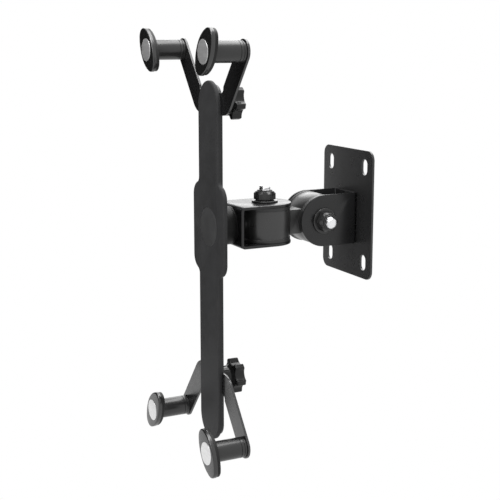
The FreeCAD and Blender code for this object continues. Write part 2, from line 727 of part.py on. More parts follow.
def tangent_spot(start, centre, radius, side):
    """Where a line from start touches a circle, and the line's direction."""
    away = centre - start
    swing = side * math.asin(radius / away.Length)
    direction = math.atan2(away.y, away.x) + swing
    run = math.sqrt(away.Length ** 2 - radius ** 2)
    return start + Vector(math.cos(direction), math.sin(direction), 0) * run, direction


# V-shaped arm plate: its own frame has the clamp bolt at the origin and the spools up
def make_arm_plate(label):
    body = new_body(label)
    sketch = new_sketch(body)
    spool_x = s.spool_spread / 2
    outer = (s.web_half, -s.web_back)
    bend = (s.crotch_half, s.crotch_rise + s.crotch_side)
    crotch = (s.crotch_half, s.crotch_rise)
    centre = spot_of((spool_x, s.spool_rise))
    radius = number_of(s.arm_end_radius)
    outer_touch, outer_way = tangent_spot(spot_of(outer), centre, radius, -1)
    inner_touch, inner_way = tangent_spot(spot_of(bend), centre, radius, 1)

    def mirrored(spot):
        return Vector(-spot.x, spot.y, 0)

    def left_of(corner):
        return (-corner[0], corner[1])

    start = outer_way - math.pi / 2
    end = inner_way + math.pi / 2
    right_end = arc(sketch, (spool_x, s.spool_rise), s.arm_end_radius, start, end)
    left_end = arc(sketch, (-spool_x, s.spool_rise), s.arm_end_radius, math.pi - end, math.pi - start)
    runs = [(spot_of(outer), outer_touch), (inner_touch, spot_of(bend)), (spot_of(bend), spot_of(crotch)),
            (spot_of(crotch), spot_of(left_of(crotch))), (spot_of(left_of(crotch)), spot_of(left_of(bend))),
            (spot_of(left_of(bend)), mirrored(inner_touch)), (mirrored(outer_touch), spot_of(left_of(outer))),
            (spot_of(left_of(outer)), spot_of(outer))]
    lines = [sketch.addGeometry(Part.LineSegment(*run), False) for run in runs]
    for first, last in ((1, 2), (2, 3), (3, 4), (4, 5), (6, 7), (7, 0)):
        sketch.addConstraint(Sketcher.Constraint("Coincident", lines[first], 2, lines[last], 1))
    sketch.addConstraint(Sketcher.Constraint("Tangent", lines[0], 2, right_end, 1))
    sketch.addConstraint(Sketcher.Constraint("Tangent", right_end, 2, lines[1], 1))
    sketch.addConstraint(Sketcher.Constraint("Tangent", lines[5], 2, left_end, 1))
    sketch.addConstraint(Sketcher.Constraint("Tangent", left_end, 2, lines[6], 1))
    held = ((0, outer), (2, bend), (3, crotch), (4, left_of(crotch)), (5, left_of(bend)), (7, left_of(outer)))
    for index, corner in held:
        hold(sketch, lines[index], 1, corner)
    pad(body, sketch, s.arm_thickness)

    def both_sides(corner):
        spot = spot_of(corner)
        return [Vector(spot.x, 0, spot.y), Vector(-spot.x, 0, spot.y)]

    soften(body, "Fillet", s.web_corner, near(DEPTH, both_sides(outer)))
    soften(body, "Fillet", s.crotch_corner, near(DEPTH, both_sides(crotch)))
    soften(body, "Fillet", s.arm_edge, on_level(-number_of(s.arm_thickness)))
    holes = new_sketch(body)
    neck = s.clamp_neck / 2 + s.clamp_neck_play
    rectangle(holes, -neck, neck, -neck, neck)
    for x in (spool_x, -spool_x):
        circle(holes, s.screw_diameter / 2 + s.post_play, (x, s.spool_rise))
    pocket(body, holes, s.arm_thickness * 3, both=True)
    return keep(body)


# Clamp bolt with a thin flat head and a square neck that the arm plate holds
def make_clamp_bolt(label):
    body = new_body(label)
    neck = s.clamp_neck / 2
    sketch = rectangle(new_sketch(body), -neck, neck, -neck, neck)
    pad(body, sketch, s.arm_thickness, back=True)
    radius = s.clamp_diameter / 2
    length = s.arm_thickness + s.rail_thickness + s.clamp_washer_thickness + s.clamp_grip
    tip = s.bolt_tip
    head = s.clamp_head_diameter / 2
    profile = [(0, s.clamp_head_height), (head - tip, s.clamp_head_height), (head, 0), (radius, 0),
               (radius, -(length - tip)), (radius - tip, -length), (0, -length)]
    turn_profile(body, "Revolution", profile)
    return keep(body)


# Star knob: it starts at its washer and grows towards the wall
def make_knob(label):
    body = new_body(label)
    star = s.knob_diameter / 2
    star_at = -s.knob_neck_length
    star_end = -(s.knob_neck_length + s.knob_thickness)
    pad(body, circle(new_sketch(body, "XZ_Plane", star_at), star), s.knob_thickness, back=True)
    hollow = new_sketch(body, "XZ_Plane", star_at)
    circle(hollow, s.knob_scallop, (0, star + s.knob_scallop - s.knob_scallop_depth))
    cut = pocket(body, hollow, s.knob_thickness * 3, both=True)
    hollows = body.newObject("PartDesign::PolarPattern", "Hollows")
    hollows.Originals = [cut]
    hollows.Axis = (hollow, ["N_Axis"])
    hollows.Angle = 360
    bind(hollows, "Occurrences", s.knob_lobes)
    body.Tip = hollows
    soften(body, "Fillet", s.knob_lobe_edge, along(DEPTH))
    neck = s.knob_neck_diameter / 2
    dome = s.knob_dome_diameter / 2
    inner = s.insert_diameter / 2 + s.running_play
    depth = s.insert_length + CLEAR / 2
    profile = [(0, -depth), (inner, -depth), (inner, 0), (neck, 0), (neck, star_at + s.knob_neck_flare),
               (neck + s.knob_neck_flare, star_at), (neck + s.knob_neck_flare, star_end), (dome, star_end),
               (dome - s.knob_dome, star_end - s.knob_dome), (0, star_end - s.knob_dome)]
    turn_profile(body, "Revolution", profile)
    pocket(body, circle(new_sketch(body), inner), depth * 2, both=True)
    return keep(body)


# One spool: sleeve, post, two-layer oval flange and bare metal disc
def make_oval(body, length, width, end_radius, thickness):
    """Pads an oval of four arcs, round at its ends and fuller along its sides."""
    wide_half = width / 2
    shift = length / 2 - end_radius
    side = (shift * shift + wide_half * wide_half - end_radius * end_radius) / ((wide_half - end_radius) * 2)
    inward = number_of(side - wide_half)
    lean = math.atan2(number_of(shift), inward)
    sketch = new_sketch(body)
    top = arc(sketch, (0, shift), end_radius, lean, math.pi - lean)
    bottom = arc(sketch, (0, -shift), end_radius, math.pi + lean, 2 * math.pi - lean)
    flanks = []
    for centre, start in ((-inward, -lean), (inward, math.pi - lean)):
        whole = Part.Circle(Vector(centre, 0, 0), Vector(0, 0, 1), number_of(side))
        flanks.append(sketch.addGeometry(Part.ArcOfCircle(whole, start, start + 2 * lean), False))
    right, left = flanks
    for first, last in ((right, top), (top, left), (left, bottom), (bottom, right)):
        sketch.addConstraint(Sketcher.Constraint("Tangent", first, 2, last, 1))
    for flank in flanks:
        measure(sketch, "Radius", (flank,), side)
    pad(body, sketch, thickness)


def make_spool(name, carriage, side):
    """Builds a spool on the carriage, right or left of it in the carriage's own frame."""
    x = s.spool_spread / 2 if side > 0 else -s.spool_spread / 2
    tilt = Rotation(Vector(0, 1, 0), side * number_of(s.oval_tilt))
    radius = s.sleeve_diameter / 2
    inner = s.post_diameter / 2 + s.post_play
    outer_end = s.sleeve_length
    sleeve = new_body(name + "_sleeve")
    turn_profile(sleeve, "Revolution", [(inner, 0), (radius, 0), (radius, outer_end), (inner, outer_end)])
    soften(sleeve, "Fillet", s.sleeve_edge, edge_of_radius(radius))
    keep(carriage(sleeve, x, arm_front, s.spool_rise))
    screw_hole = s.screw_diameter / 2 + s.post_play
    post = ring(name + "_post", screw_hole, s.post_diameter / 2, s.sleeve_length + s.flange_pad)
    keep(carriage(post, x, arm_front, s.spool_rise))
    liner = new_body(name + "_flange_pad")
    inset = s.flange_pad_inset
    make_oval(liner, s.oval_length - inset * 2, s.oval_width - inset * 2, s.oval_end_radius - inset, s.flange_pad)
    pocket(liner, circle(new_sketch(liner), inner), s.flange_pad * 3, both=True)
    keep(carriage(liner, x, arm_front + s.sleeve_length, s.spool_rise, tilt))
    cap = new_body(name + "_flange_cap")
    make_oval(cap, s.oval_length, s.oval_width, s.oval_end_radius, s.flange_cap)
    soften(cap, "Fillet", s.flange_edge, on_level(-number_of(s.flange_cap)))
    pocket(cap, circle(new_sketch(cap), screw_hole), s.screw_bite + s.post_play, back=True)
    seat = circle(new_sketch(cap, "XZ_Plane", s.flange_cap), s.disc_diameter / 2 + s.disc_play)
    pocket(cap, seat, s.disc_thickness - s.disc_proud)
    cap_at = arm_front + s.sleeve_length + s.flange_pad
    keep(carriage(cap, x, cap_at, s.spool_rise, tilt))
    disc = new_body(name + "_disc")
    bevel = s.disc_proud / 2
    rim = s.disc_diameter / 2
    turn_profile(disc, "Revolution", [(0, 0), (rim, 0), (rim, s.disc_thickness - bevel),
                                      (rim - bevel, s.disc_thickness), (0, s.disc_thickness)])
    disc_at = cap_at + s.flange_cap + s.disc_proud - s.disc_thickness
    keep(carriage(disc, x, disc_at, s.spool_rise))
    length = s.arm_thickness + s.sleeve_length + s.flange_pad + s.screw_bite
    screw = make_pan_screw(name + "_screw", s.screw_diameter, length, s.screw_head_diameter, s.screw_head_height)
    return carriage(screw, x, rail_front, s.spool_rise)


def edge_of_radius(radius):
    """A test for round edges of one radius."""
    def chosen(edge):
        return edge.Curve.TypeId == "Part::GeomCircle" and abs(edge.Curve.Radius - number_of(radius)) < 1e-6
    return chosen


# One carriage: an arm plate, its clamp, its knob and its two spools
def make_carriage(name, bolt_up, flipped):
    turn = HALF_TURN if flipped else TO_FRONT
    sign = -1 if flipped else 1

    def carriage(item, x, out, up, own_turn=TO_FRONT):
        """Places a piece given in the carriage's own frame."""
        across = x * sign if isinstance(x, Size) else x
        rise = bolt_up + up * sign if isinstance(up, Size) else bolt_up
        return place(item, across, out, rise, turn.multiply(own_turn))

    carriage(make_arm_plate(name + "_arm_plate"), 0, rail_front, 0)
    carriage(make_clamp_bolt(name + "_clamp_bolt"), 0, arm_front, 0)
    washer_at = rail_out - s.clamp_washer_thickness
    washer = ring(name + "_clamp_washer", s.clamp_diameter / 2 + s.running_play, s.clamp_washer_diameter / 2,
                  s.clamp_washer_thickness)
    keep(carriage(washer, 0, washer_at, 0))
    carriage(make_knob(name + "_knob"), 0, washer_at, 0, Rotation(Vector(0, 1, 0), number_of(s.knob_turn)))
    insert = ring(name + "_knob_insert", s.clamp_diameter / 2 + s.running_play, s.insert_diameter / 2,
                  s.insert_length)
    keep(carriage(insert, 0, washer_at - s.insert_length, 0))
    screws = []
    for side in (1, -1):
        hand = "right" if side * sign > 0 else "left"
        screws.append(make_spool("%s_%s" % (name, hand), carriage, side))
    keep(group(name + "_spool_screws", screws))


make_wall_plate()
place(make_clevis("wall_clevis", base_hole=False), 0, tilt_out, axis_up)
place(make_knuckle(), 0, tilt_out, axis_up)
make_hinge_hardware("tilt", tilt_out, axis_up, TO_RIGHT, s.tilt_bolt_end)
upended = Rotation(Vector(0, 1, 0), 90).multiply(Rotation(Vector(0, 0, 1), 180))
place(make_clevis("holder_clevis", base_hole=True), 0, swivel_out, axis_up, upended)
make_hinge_hardware("swivel", swivel_out, axis_up, TO_TOP, s.swivel_bolt_end)
make_pivot()
make_rail()
make_spacer()
make_cover()
make_cap()
make_cover_screws()
make_carriage("top", axis_up + s.top_clamp, flipped=False)
make_carriage("bottom", axis_up - s.bottom_clamp, flipped=True)

doc.recompute()
for item in doc.Objects:
    if "Invalid" in item.State or "Error" in item.State:
        raise ValueError("%s failed to build" % item.Label)

os.makedirs("parts", exist_ok=True)
for item in kept:
    shape = item.Shape
    if shape.isNull() or not shape.isValid() or not shape.Solids:
        raise ValueError("%s has no valid solid" % item.Label)
    shape.exportStep("parts/%s.step" % item.Label)
    print("%-28s %d solid  %9.1f mm3" % (item.Label, len(shape.Solids), shape.Volume))
print("%d pieces written" % len(kept))
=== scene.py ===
"""Looks of the tablet wall mount: finishes, front cover, hinge hardware, spools and star knobs."""

import json
import math

import bmesh
import bpy
from bpy.props import FloatProperty, FloatVectorProperty, IntProperty, PointerProperty
from mathutils import Euler, Matrix, Vector


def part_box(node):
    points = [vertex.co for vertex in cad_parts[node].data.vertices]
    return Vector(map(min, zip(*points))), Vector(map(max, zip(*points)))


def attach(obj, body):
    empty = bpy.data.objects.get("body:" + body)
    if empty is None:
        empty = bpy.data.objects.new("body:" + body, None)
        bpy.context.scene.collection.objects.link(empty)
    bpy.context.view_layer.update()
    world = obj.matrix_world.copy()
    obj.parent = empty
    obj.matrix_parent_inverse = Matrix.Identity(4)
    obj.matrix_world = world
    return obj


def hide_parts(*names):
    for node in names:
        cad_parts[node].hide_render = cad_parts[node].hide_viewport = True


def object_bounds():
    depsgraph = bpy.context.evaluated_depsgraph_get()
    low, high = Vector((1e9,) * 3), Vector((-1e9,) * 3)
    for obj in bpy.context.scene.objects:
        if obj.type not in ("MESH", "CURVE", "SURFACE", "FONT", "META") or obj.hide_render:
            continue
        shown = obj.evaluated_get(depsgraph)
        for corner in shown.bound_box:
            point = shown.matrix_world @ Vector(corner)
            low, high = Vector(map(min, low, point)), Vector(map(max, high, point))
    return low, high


bl_info = {
    "name": "Tablet Wall Mount",
    "version": (1, 0, 0),
    "blender": (4, 5, 0),
    "location": "View3D > Sidebar > Wall Mount",
    "description": "Dresses the packed tablet wall mount with finishes, cover, hardware, spools and knobs",
    "category": "Object",
}

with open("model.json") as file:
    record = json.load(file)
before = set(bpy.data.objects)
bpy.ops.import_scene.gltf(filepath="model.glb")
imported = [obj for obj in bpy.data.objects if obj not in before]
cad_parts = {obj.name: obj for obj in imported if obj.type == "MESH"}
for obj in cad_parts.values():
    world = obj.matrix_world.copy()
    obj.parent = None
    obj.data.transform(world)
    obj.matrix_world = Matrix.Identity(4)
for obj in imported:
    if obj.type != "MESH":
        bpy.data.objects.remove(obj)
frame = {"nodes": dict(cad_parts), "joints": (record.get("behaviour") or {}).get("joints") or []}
CAD_BOX = [list(corner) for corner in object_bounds()]

MM = 0.001
SPOOLS = ("right", "left")
CARRIAGES = ("top", "bottom")

# Steps round a turned piece, round a corner of its profile and over a rim
TURN_STEPS = 96
CORNER_STEPS = 6
RIM_STEPS = 5

# Points of a new mesh and of a CAD copy that are nearer than this are one
WELD = 1e-7
CAD_WELD = 1e-6

# Faces of a CAD copy that meet flatter than the first are one, edges sharper than the second are eased, and
# those sharper than the third stay sharp
FLAT_ANGLE = math.radians(0.5)
EASED_ANGLE = math.radians(40)
SHARP_ANGLE = math.radians(25)

# Name, place, aim, size and power of each lamp, in metres and watts
MIDDLE = (0, -0.08, 0)
LAMPS = (
    ("key", (0.3, -0.9, 0.9), MIDDLE, 0.6, 7.0),
    ("back", (-0.9, 0.5, 0.5), MIDDLE, 0.8, 4.0),
    ("top", (0.15, -0.1, 0.95), MIDDLE, 0.4, 6.0),
    ("rim", (-0.2, 0.35, 0.85), (0, -0.1, 0.05), 0.7, 7.0),
)


# Places in the frame


def joint_place(name):
    """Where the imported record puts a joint."""
    return Vector([joint for joint in frame["joints"] if joint["name"] == name][0]["pos_m"])


def node_centre(name):
    low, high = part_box(name)
    return (low + high) / 2


def node_span(name, centre, axis):
    """Where a node starts along an axis through a centre, its length that way and its radius across Y."""
    low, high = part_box(name)
    size = high - low
    return (low - centre).dot(axis), size.dot(axis), size.y / 2


# Node trees


class Graph:
    """Adds nodes to a tree, so that a formula reads in the order in which it is worked out."""

    def __init__(self, tree):
        self.tree = tree

    def add(self, kind, inputs=None, **settings):
        node = self.tree.nodes.new(kind)
        for name, value in settings.items():
            setattr(node, name, value)
        for key, value in (inputs or {}).items():
            self.feed(node.inputs[key], value)
        return node

    def feed(self, socket, value):
        if isinstance(value, bpy.types.NodeSocket):
            self.tree.links.new(value, socket)
        else:
            socket.default_value = value

    def math(self, operation, *values, kind="ShaderNodeMath"):
        inputs = dict(enumerate(values))
        node = self.add(kind, inputs, operation=operation)
        return node.outputs[0]

    def vector(self, operation, *values):
        return self.math(operation, *values, kind="ShaderNodeVectorMath")


def empty_graph(owner):
    """The node tree of a new material or world, with nothing in it."""
    owner.use_nodes = True
    owner.node_tree.nodes.clear()
    return Graph(owner.node_tree)


def geometry_tree(name, inputs):
    """A new Geometry Nodes tree: its graph, what comes in, its output node and its inputs' identifiers."""
    tree = bpy.data.node_groups.new(name, "GeometryNodeTree")
    for way in ("INPUT", "OUTPUT"):
        tree.interface.new_socket(name="Geometry", in_out=way, socket_type="NodeSocketGeometry")
    identifiers = {}
    for label, kind in inputs.items():
        item = tree.interface.new_socket(name=label, in_out="INPUT", socket_type="NodeSocket" + kind)
        identifiers[label] = item.identifier
    graph = Graph(tree)
    return graph, graph.add("NodeGroupInput").outputs, graph.add("NodeGroupOutput"), identifiers


def finish_tree(graph, geometry, material, output):
    """Ends a tree with plain mesh data and its material."""
    real = graph.add("GeometryNodeRealizeInstances", {0: geometry})
    painted = graph.add("GeometryNodeSetMaterial", {0: real.outputs[0], "Material": material})
    graph.feed(output.inputs[0], painted.outputs[0])


def make_pair_tree():
    """Two copies of a piece, one each side of a centre, each turned its own way."""
    graph, get, output, identifiers = geometry_tree(
        "pair_of_pieces", {"Centre": "Vector", "Offset": "Vector", "Turn": "Vector", "Material": "Material"}
    )
    index = graph.add("GeometryNodeInputIndex").outputs[0]
    side = graph.math("MULTIPLY_ADD", index, 2.0, -1.0)
    place = graph.vector("MULTIPLY_ADD", get["Offset"], side, get["Centre"])
    points = graph.add("GeometryNodePoints", {"Count": 2, "Position": place})
    turn = graph.vector("MULTIPLY", get["Turn"], side)
    copies = graph.add(
        "GeometryNodeInstanceOnPoints",
        {"Points": points.outputs[0], "Instance": get["Geometry"], "Rotation": turn},
    )
    finish_tree(graph, copies.outputs[0], get["Material"], output)
    return graph.tree, identifiers


def make_star_tree():
    """Round hollows pressed into the rim of a body of revolution about the Y axis, at even steps."""
    inputs = {"Lobes": "Int"}
    for label in ("Depth", "Hollow Radius", "Inner Radius", "Outer Radius", "Phase", "Softness"):
        inputs[label] = "Float"
    inputs["Material"] = "Material"
    graph, get, output, identifiers = geometry_tree("star_of_lobes", inputs)
    position = graph.add("GeometryNodeInputPosition").outputs[0]
    axes = graph.add("ShaderNodeSeparateXYZ", {0: position}).outputs
    flat = graph.add("ShaderNodeCombineXYZ", {0: axes[0], 2: axes[2]}).outputs[0]
    radius = graph.add("ShaderNodeVectorMath", {0: flat}, operation="LENGTH").outputs["Value"]
    angle = graph.math("SUBTRACT", graph.math("ARCTAN2", axes[2], axes[0]), get["Phase"])
    half = graph.math("DIVIDE", math.pi, get["Lobes"])
    off = graph.math("WRAP", angle, half, graph.math("MULTIPLY", half, -1.0))
    outer = get["Outer Radius"]
    hollow = get["Hollow Radius"]
    away = graph.math("SUBTRACT", graph.math("ADD", outer, hollow), get["Depth"])
    across = graph.math("MULTIPLY", away, graph.math("SINE", off))
    across_squared = graph.math("MULTIPLY", across, across)
    room = graph.math("SUBTRACT", graph.math("MULTIPLY", hollow, hollow), across_squared)
    chord = graph.math("SQRT", graph.math("MAXIMUM", room, 0.0))
    bottom = graph.math("SUBTRACT", graph.math("MULTIPLY", away, graph.math("COSINE", off)), chord)
    limit = graph.math("SMOOTH_MIN", outer, bottom, get["Softness"])
    width = graph.math("SUBTRACT", outer, get["Inner Radius"])
    share = graph.math("DIVIDE", graph.math("SUBTRACT", radius, get["Inner Radius"]), width)
    bound = graph.add("ShaderNodeClamp", {0: share}).outputs[0]
    press = graph.math("MULTIPLY", graph.math("SUBTRACT", outer, limit), bound)
    inward = graph.add("ShaderNodeVectorMath", {0: flat}, operation="NORMALIZE").outputs[0]
    shift = graph.vector("MULTIPLY", inward, graph.math("MULTIPLY", press, -1.0))
    moved = graph.add("GeometryNodeSetPosition", {0: get["Geometry"], "Offset": shift})
    finish_tree(graph, moved.outputs[0], get["Material"], output)
    return graph.tree, identifiers


def through_tree(template, tree_and_identifiers, values, name):
    """Runs a tree on a template, drops the template and returns the result as a plain mesh object."""
    tree, identifiers = tree_and_identifiers
    modifier = template.modifiers.new("Shape", "NODES")
    modifier.node_group = tree
    for key, value in values.items():
        modifier[identifiers[key]] = value
    graph = bpy.context.evaluated_depsgraph_get()
    graph.update()
    mesh = bpy.data.meshes.new_from_object(template.evaluated_get(graph))
    mesh.name = name
    bpy.data.objects.remove(template)
    return link_object(name, mesh)


# Meshes


def link_object(name, data):
    obj = bpy.data.objects.new(name, data)
    bpy.context.scene.collection.objects.link(obj)
    return obj


def link_mesh(name, verts, faces, material=None, smooth=35.0):
    """A mesh object with its faces smoothed up to an angle."""
    mesh = bpy.data.meshes.new(name)
    mesh.from_pydata(verts, [], faces)
    mesh.validate()
    if material:
        mesh.materials.append(material)
    shape = bmesh.new()
    shape.from_mesh(mesh)
    bmesh.ops.remove_doubles(shape, verts=shape.verts, dist=WELD)
    bmesh.ops.recalc_face_normals(shape, faces=shape.faces)
    shape.to_mesh(mesh)
    shape.free()
    mesh.shade_smooth()
    mesh.set_sharp_from_angle(angle=math.radians(smooth))
    return link_object(name, mesh)


def add_ring(verts, points):
    """Adds a ring's points to a mesh's points and returns their numbers."""
    start = len(verts)
    verts.extend(points)
    return list(range(start, len(verts)))


def bridge(first, second):
    """Faces between two rings, either of which may be a single point on the axis."""
    faces = []
    count = max(len(first), len(second))
    if count == 1:
        return faces
    for step in range(count):
        after = (step + 1) % count
        if len(first) == 1:
            faces.append((first[0], second[after], second[step]))
        elif len(second) == 1:
            faces.append((first[step], first[after], second[0]))
        else:
            faces.append((first[step], first[after], second[after], second[step]))
    return faces


def round_corners(corners):
    """Replaces each (x, y, radius) corner of a closed outline by an arc of its radius."""
    points = []
    count = len(corners)
    for i, (x, y, radius) in enumerate(corners):
        here = Vector((x, y))
        if radius <= 0:
            points.append(here)
            continue
        before = Vector(corners[i - 1][:2]) - here
        after = Vector(corners[(i + 1) % count][:2]) - here
        opening = before.angle(after)
        run = radius / math.tan(opening / 2)
        start = here + before.normalized() * run
        end = here + after.normalized() * run
        inward = (before.normalized() + after.normalized()).normalized()
        centre = here + inward * radius / math.sin(opening / 2)
        first, last = start - centre, end - centre
        sweep = first.angle_signed(last)
        for step in range(CORNER_STEPS + 1):
            points.append(centre + Matrix.Rotation(-sweep * step / CORNER_STEPS, 2) @ first)
    return points


def lathe(name, corners, material=None, steps=TURN_STEPS, section=None, smooth=35.0):
    """Turns a closed profile of (radius, distance out, corner radius) corners about Y, outwards to -Y.

    A section gives the reach at each angle where a ring isn't round.
    """
    angles = [math.tau * step / steps for step in range(steps)]
    verts, rings = [], []
    for radius, out in round_corners(corners):
        if radius < WELD:
            rings.append(add_ring(verts, [(0, -out, 0)]))
            continue
        points = []
        for angle in angles:
            reach = section(angle, radius, out) if section else radius
            points.append((reach * math.cos(angle), -out, reach * math.sin(angle)))
        rings.append(add_ring(verts, points))
    faces = []
    for first, second in zip(rings, rings[1:] + rings[:1]):
        faces += bridge(first, second)
    return link_mesh(name, verts, faces, material, smooth)


def hexagon(angle, radius, flat):
    """Reach of a ring that is cut down to a hexagon, whose flats are this far from the axis."""
    return min(radius, flat / math.cos((angle % (math.pi / 3)) - math.pi / 6))


def put(obj, place, turn=(0, 0, 0)):
    """Moves a mesh to its place, with its object left at the origin."""
    obj.data.transform(Matrix.Translation(place) @ Euler(turn).to_matrix().to_4x4())


def join(name, *pieces):
    """Makes one mesh object of several."""
    shape = bmesh.new()
    for piece in pieces:
        shape.from_mesh(piece.data)
    mesh = bpy.data.meshes.new(name)
    for material in pieces[0].data.materials:
        mesh.materials.append(material)
    shape.to_mesh(mesh)
    shape.free()
    for piece in pieces:
        bpy.data.objects.remove(piece)
    return link_object(name, mesh)


def eased_copy(node, width, material, reshape=None):
    """A copy of a CAD node with its edges slightly rounded, after a reshape of its points if one is given."""
    mesh = frame["nodes"][node].data.copy()
    shape = bmesh.new()
    shape.from_mesh(mesh)
    bmesh.ops.remove_doubles(shape, verts=shape.verts, dist=CAD_WELD)
    bmesh.ops.dissolve_limit(shape, angle_limit=FLAT_ANGLE, verts=shape.verts, edges=shape.edges)
    if reshape:
        reshape(shape)
        bmesh.ops.remove_doubles(shape, verts=shape.verts, dist=CAD_WELD)
    shape.to_mesh(mesh)
    shape.free()
    mesh.name = node + "_eased"
    obj = link_object(node + "_eased", mesh)
    bevel = obj.modifiers.new("Eased edges", "BEVEL")
    bevel.width = width
    bevel.segments = 2
    bevel.limit_method = "ANGLE"
    bevel.angle_limit = EASED_ANGLE
    bevel.use_clamp_overlap = True
    graph = bpy.context.evaluated_depsgraph_get()
    eased = bpy.data.meshes.new_from_object(obj.evaluated_get(graph))
    obj.modifiers.clear()
    obj.data = eased
    eased.materials.clear()
    eased.materials.append(material)
    if "custom_normal" in eased.attributes:
        eased.attributes.remove(eased.attributes["custom_normal"])
    eased.shade_smooth()
    eased.set_sharp_from_angle(angle=SHARP_ANGLE)
    return obj


def seat(obj, body, slot, *nodes):
    """Rides a piece on its body, in place of the CAD nodes that it stands for."""
    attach(obj, body)
    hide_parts(*nodes)


# Finishes


def grey(level):
    return (level, level, level, 1)


def finish(name, colour, roughness, *, metallic=0.0, specular=0.5, grain=900.0, bump=0.1, depth=0.05 * MM,
           mottle=0.12, stretch=(1, 1, 1), spread=0.08):
    """A surface finish: two close tones, uneven gloss and a fine relief, all on Object coordinates.

    Grain counts the relief's grains per metre, and the tones change in clouds many grains wide.
    """
    cloud_size, cloud_share = 0.06, 0.6
    dark, bright = 0.3, 0.7
    material = bpy.data.materials.new(name)
    material.use_nodes = True
    graph = Graph(material.node_tree)
    shader = graph.tree.nodes["Principled BSDF"]
    place = graph.add("ShaderNodeTexCoord").outputs["Object"]
    place = graph.add("ShaderNodeMapping", {"Vector": place, "Scale": stretch}).outputs[0]
    cloud, fine = [
        graph.add("ShaderNodeTexNoise", {"Vector": place, "Scale": scale, "Detail": detail}).outputs[0]
        for scale, detail in ((grain * cloud_size, 3.0), (grain, 2.0))
    ]
    blend = graph.math("MULTIPLY_ADD", cloud, cloud_share, graph.math("MULTIPLY", fine, 1 - cloud_share))
    tone = graph.add("ShaderNodeValToRGB", {0: blend})
    ramp = tone.color_ramp.elements
    ramp[0].position, ramp[1].position = dark, bright
    ramp[0].color = [channel * (1 - mottle) for channel in colour] + [1]
    ramp[1].color = [min(channel * (1 + mottle), 1) for channel in colour] + [1]
    low_gloss, high_gloss = roughness - spread / 2, roughness + spread / 2
    gloss = graph.add("ShaderNodeMapRange", {0: cloud, 1: dark, 2: bright, 3: low_gloss, 4: high_gloss})
    relief = graph.add("ShaderNodeBump", {"Height": fine, "Strength": bump, "Distance": depth})
    graph.feed(shader.inputs["Base Color"], tone.outputs[0])
    graph.feed(shader.inputs["Roughness"], gloss.outputs[0])
    graph.feed(shader.inputs["Normal"], relief.outputs[0])
    shader.inputs["Metallic"].default_value = metallic
    shader.inputs["Specular IOR Level"].default_value = specular
    return material


def paint(node, material):
    """Gives a CAD node a finish."""
    mesh = frame["nodes"][node].data
    mesh.materials.clear()
    mesh.materials.append(material)


def lit_but_white(graph, plain, white, output):
    """Ends a tree that lights the object plainly, and that the camera, gloss and glass see as white."""
    rays = graph.add("ShaderNodeLightPath").outputs
    seen = rays["Is Camera Ray"]
    for ray in ("Is Glossy Ray", "Is Transmission Ray"):
        seen = graph.math("MAXIMUM", seen, rays[ray])
    mix = graph.add("ShaderNodeMixShader", {0: seen, 1: plain.outputs[0], 2: white.outputs[0]})
    graph.add(output, {0: mix.outputs[0]})


# Settings


def size_setting(name, description, millimetres):
    return FloatProperty(name=name, description=description, unit="LENGTH", default=millimetres * MM)


def angle_setting(name, description, degrees):
    return FloatProperty(name=name, description=description, subtype="ANGLE", default=math.radians(degrees))


def colour_setting(name, description, colour):
    return FloatVectorProperty(
        name=name, description=description, subtype="COLOR", default=colour, min=0.0, max=1.0
    )


class StageSettings(bpy.types.PropertyGroup):
    """Camera, light and floor."""

    camera_place: FloatVectorProperty(
        name="Camera Place", description="Where the camera stands", subtype="TRANSLATION", unit="LENGTH",
        default=(0.6519, -0.4050, 0.1233),
    )
    azimuth: angle_setting("Azimuth", "Turn of the camera's view from +Y towards -X", 63.39)
    elevation: angle_setting("Elevation", "How far the camera looks down", 11.24)
    lens: FloatProperty(
        name="Lens", description="Focal length on a 36 mm sensor", subtype="DISTANCE_CAMERA", default=78.2
    )
    floor_drop: size_setting("Floor Drop", "Floor below the mount's lowest point", 350)
    floor_reach: size_setting("Floor Reach", "Half the floor's width", 6000)
    fill: FloatProperty(name="Fill", description="Light from all round", default=0.55, min=0.0)
    card_away: size_setting("Card Distance", "Dark card in front of the mount, to its left", 240)
    card_edge: size_setting("Card Edge", "Where the dark card ends towards the wall", 0)
    card_low: size_setting("Card Foot", "Height of the dark card's lower edge", -155)
    card_size: size_setting("Card Size", "Width and height of the dark card", 1200)


class MetalSettings(bpy.types.PropertyGroup):
    """Sheet metal, casting and rail."""

    colour: colour_setting("Powder Coat", "Colour of the wall plate", (0.018, 0.018, 0.0185))
    clevis_colour: colour_setting("Clevis Coat", "Colour of the two clevises", (0.008, 0.008, 0.0085))
    cast_colour: colour_setting("Casting", "Colour of the knuckle", (0.02, 0.02, 0.02))
    # The hub's own black, made darker still as painted shade for the gap between the bar and the clevis
    hub_shade_colour: colour_setting("Hub", "Colour of the pivot hub", (0.007, 0.007, 0.007))
    arm_colour: colour_setting("Arm Enamel", "Colour of the arm plates and the rail", (0.011, 0.011, 0.0115))
    edge: size_setting("Edge", "Rounding of cut edges", 0.45)


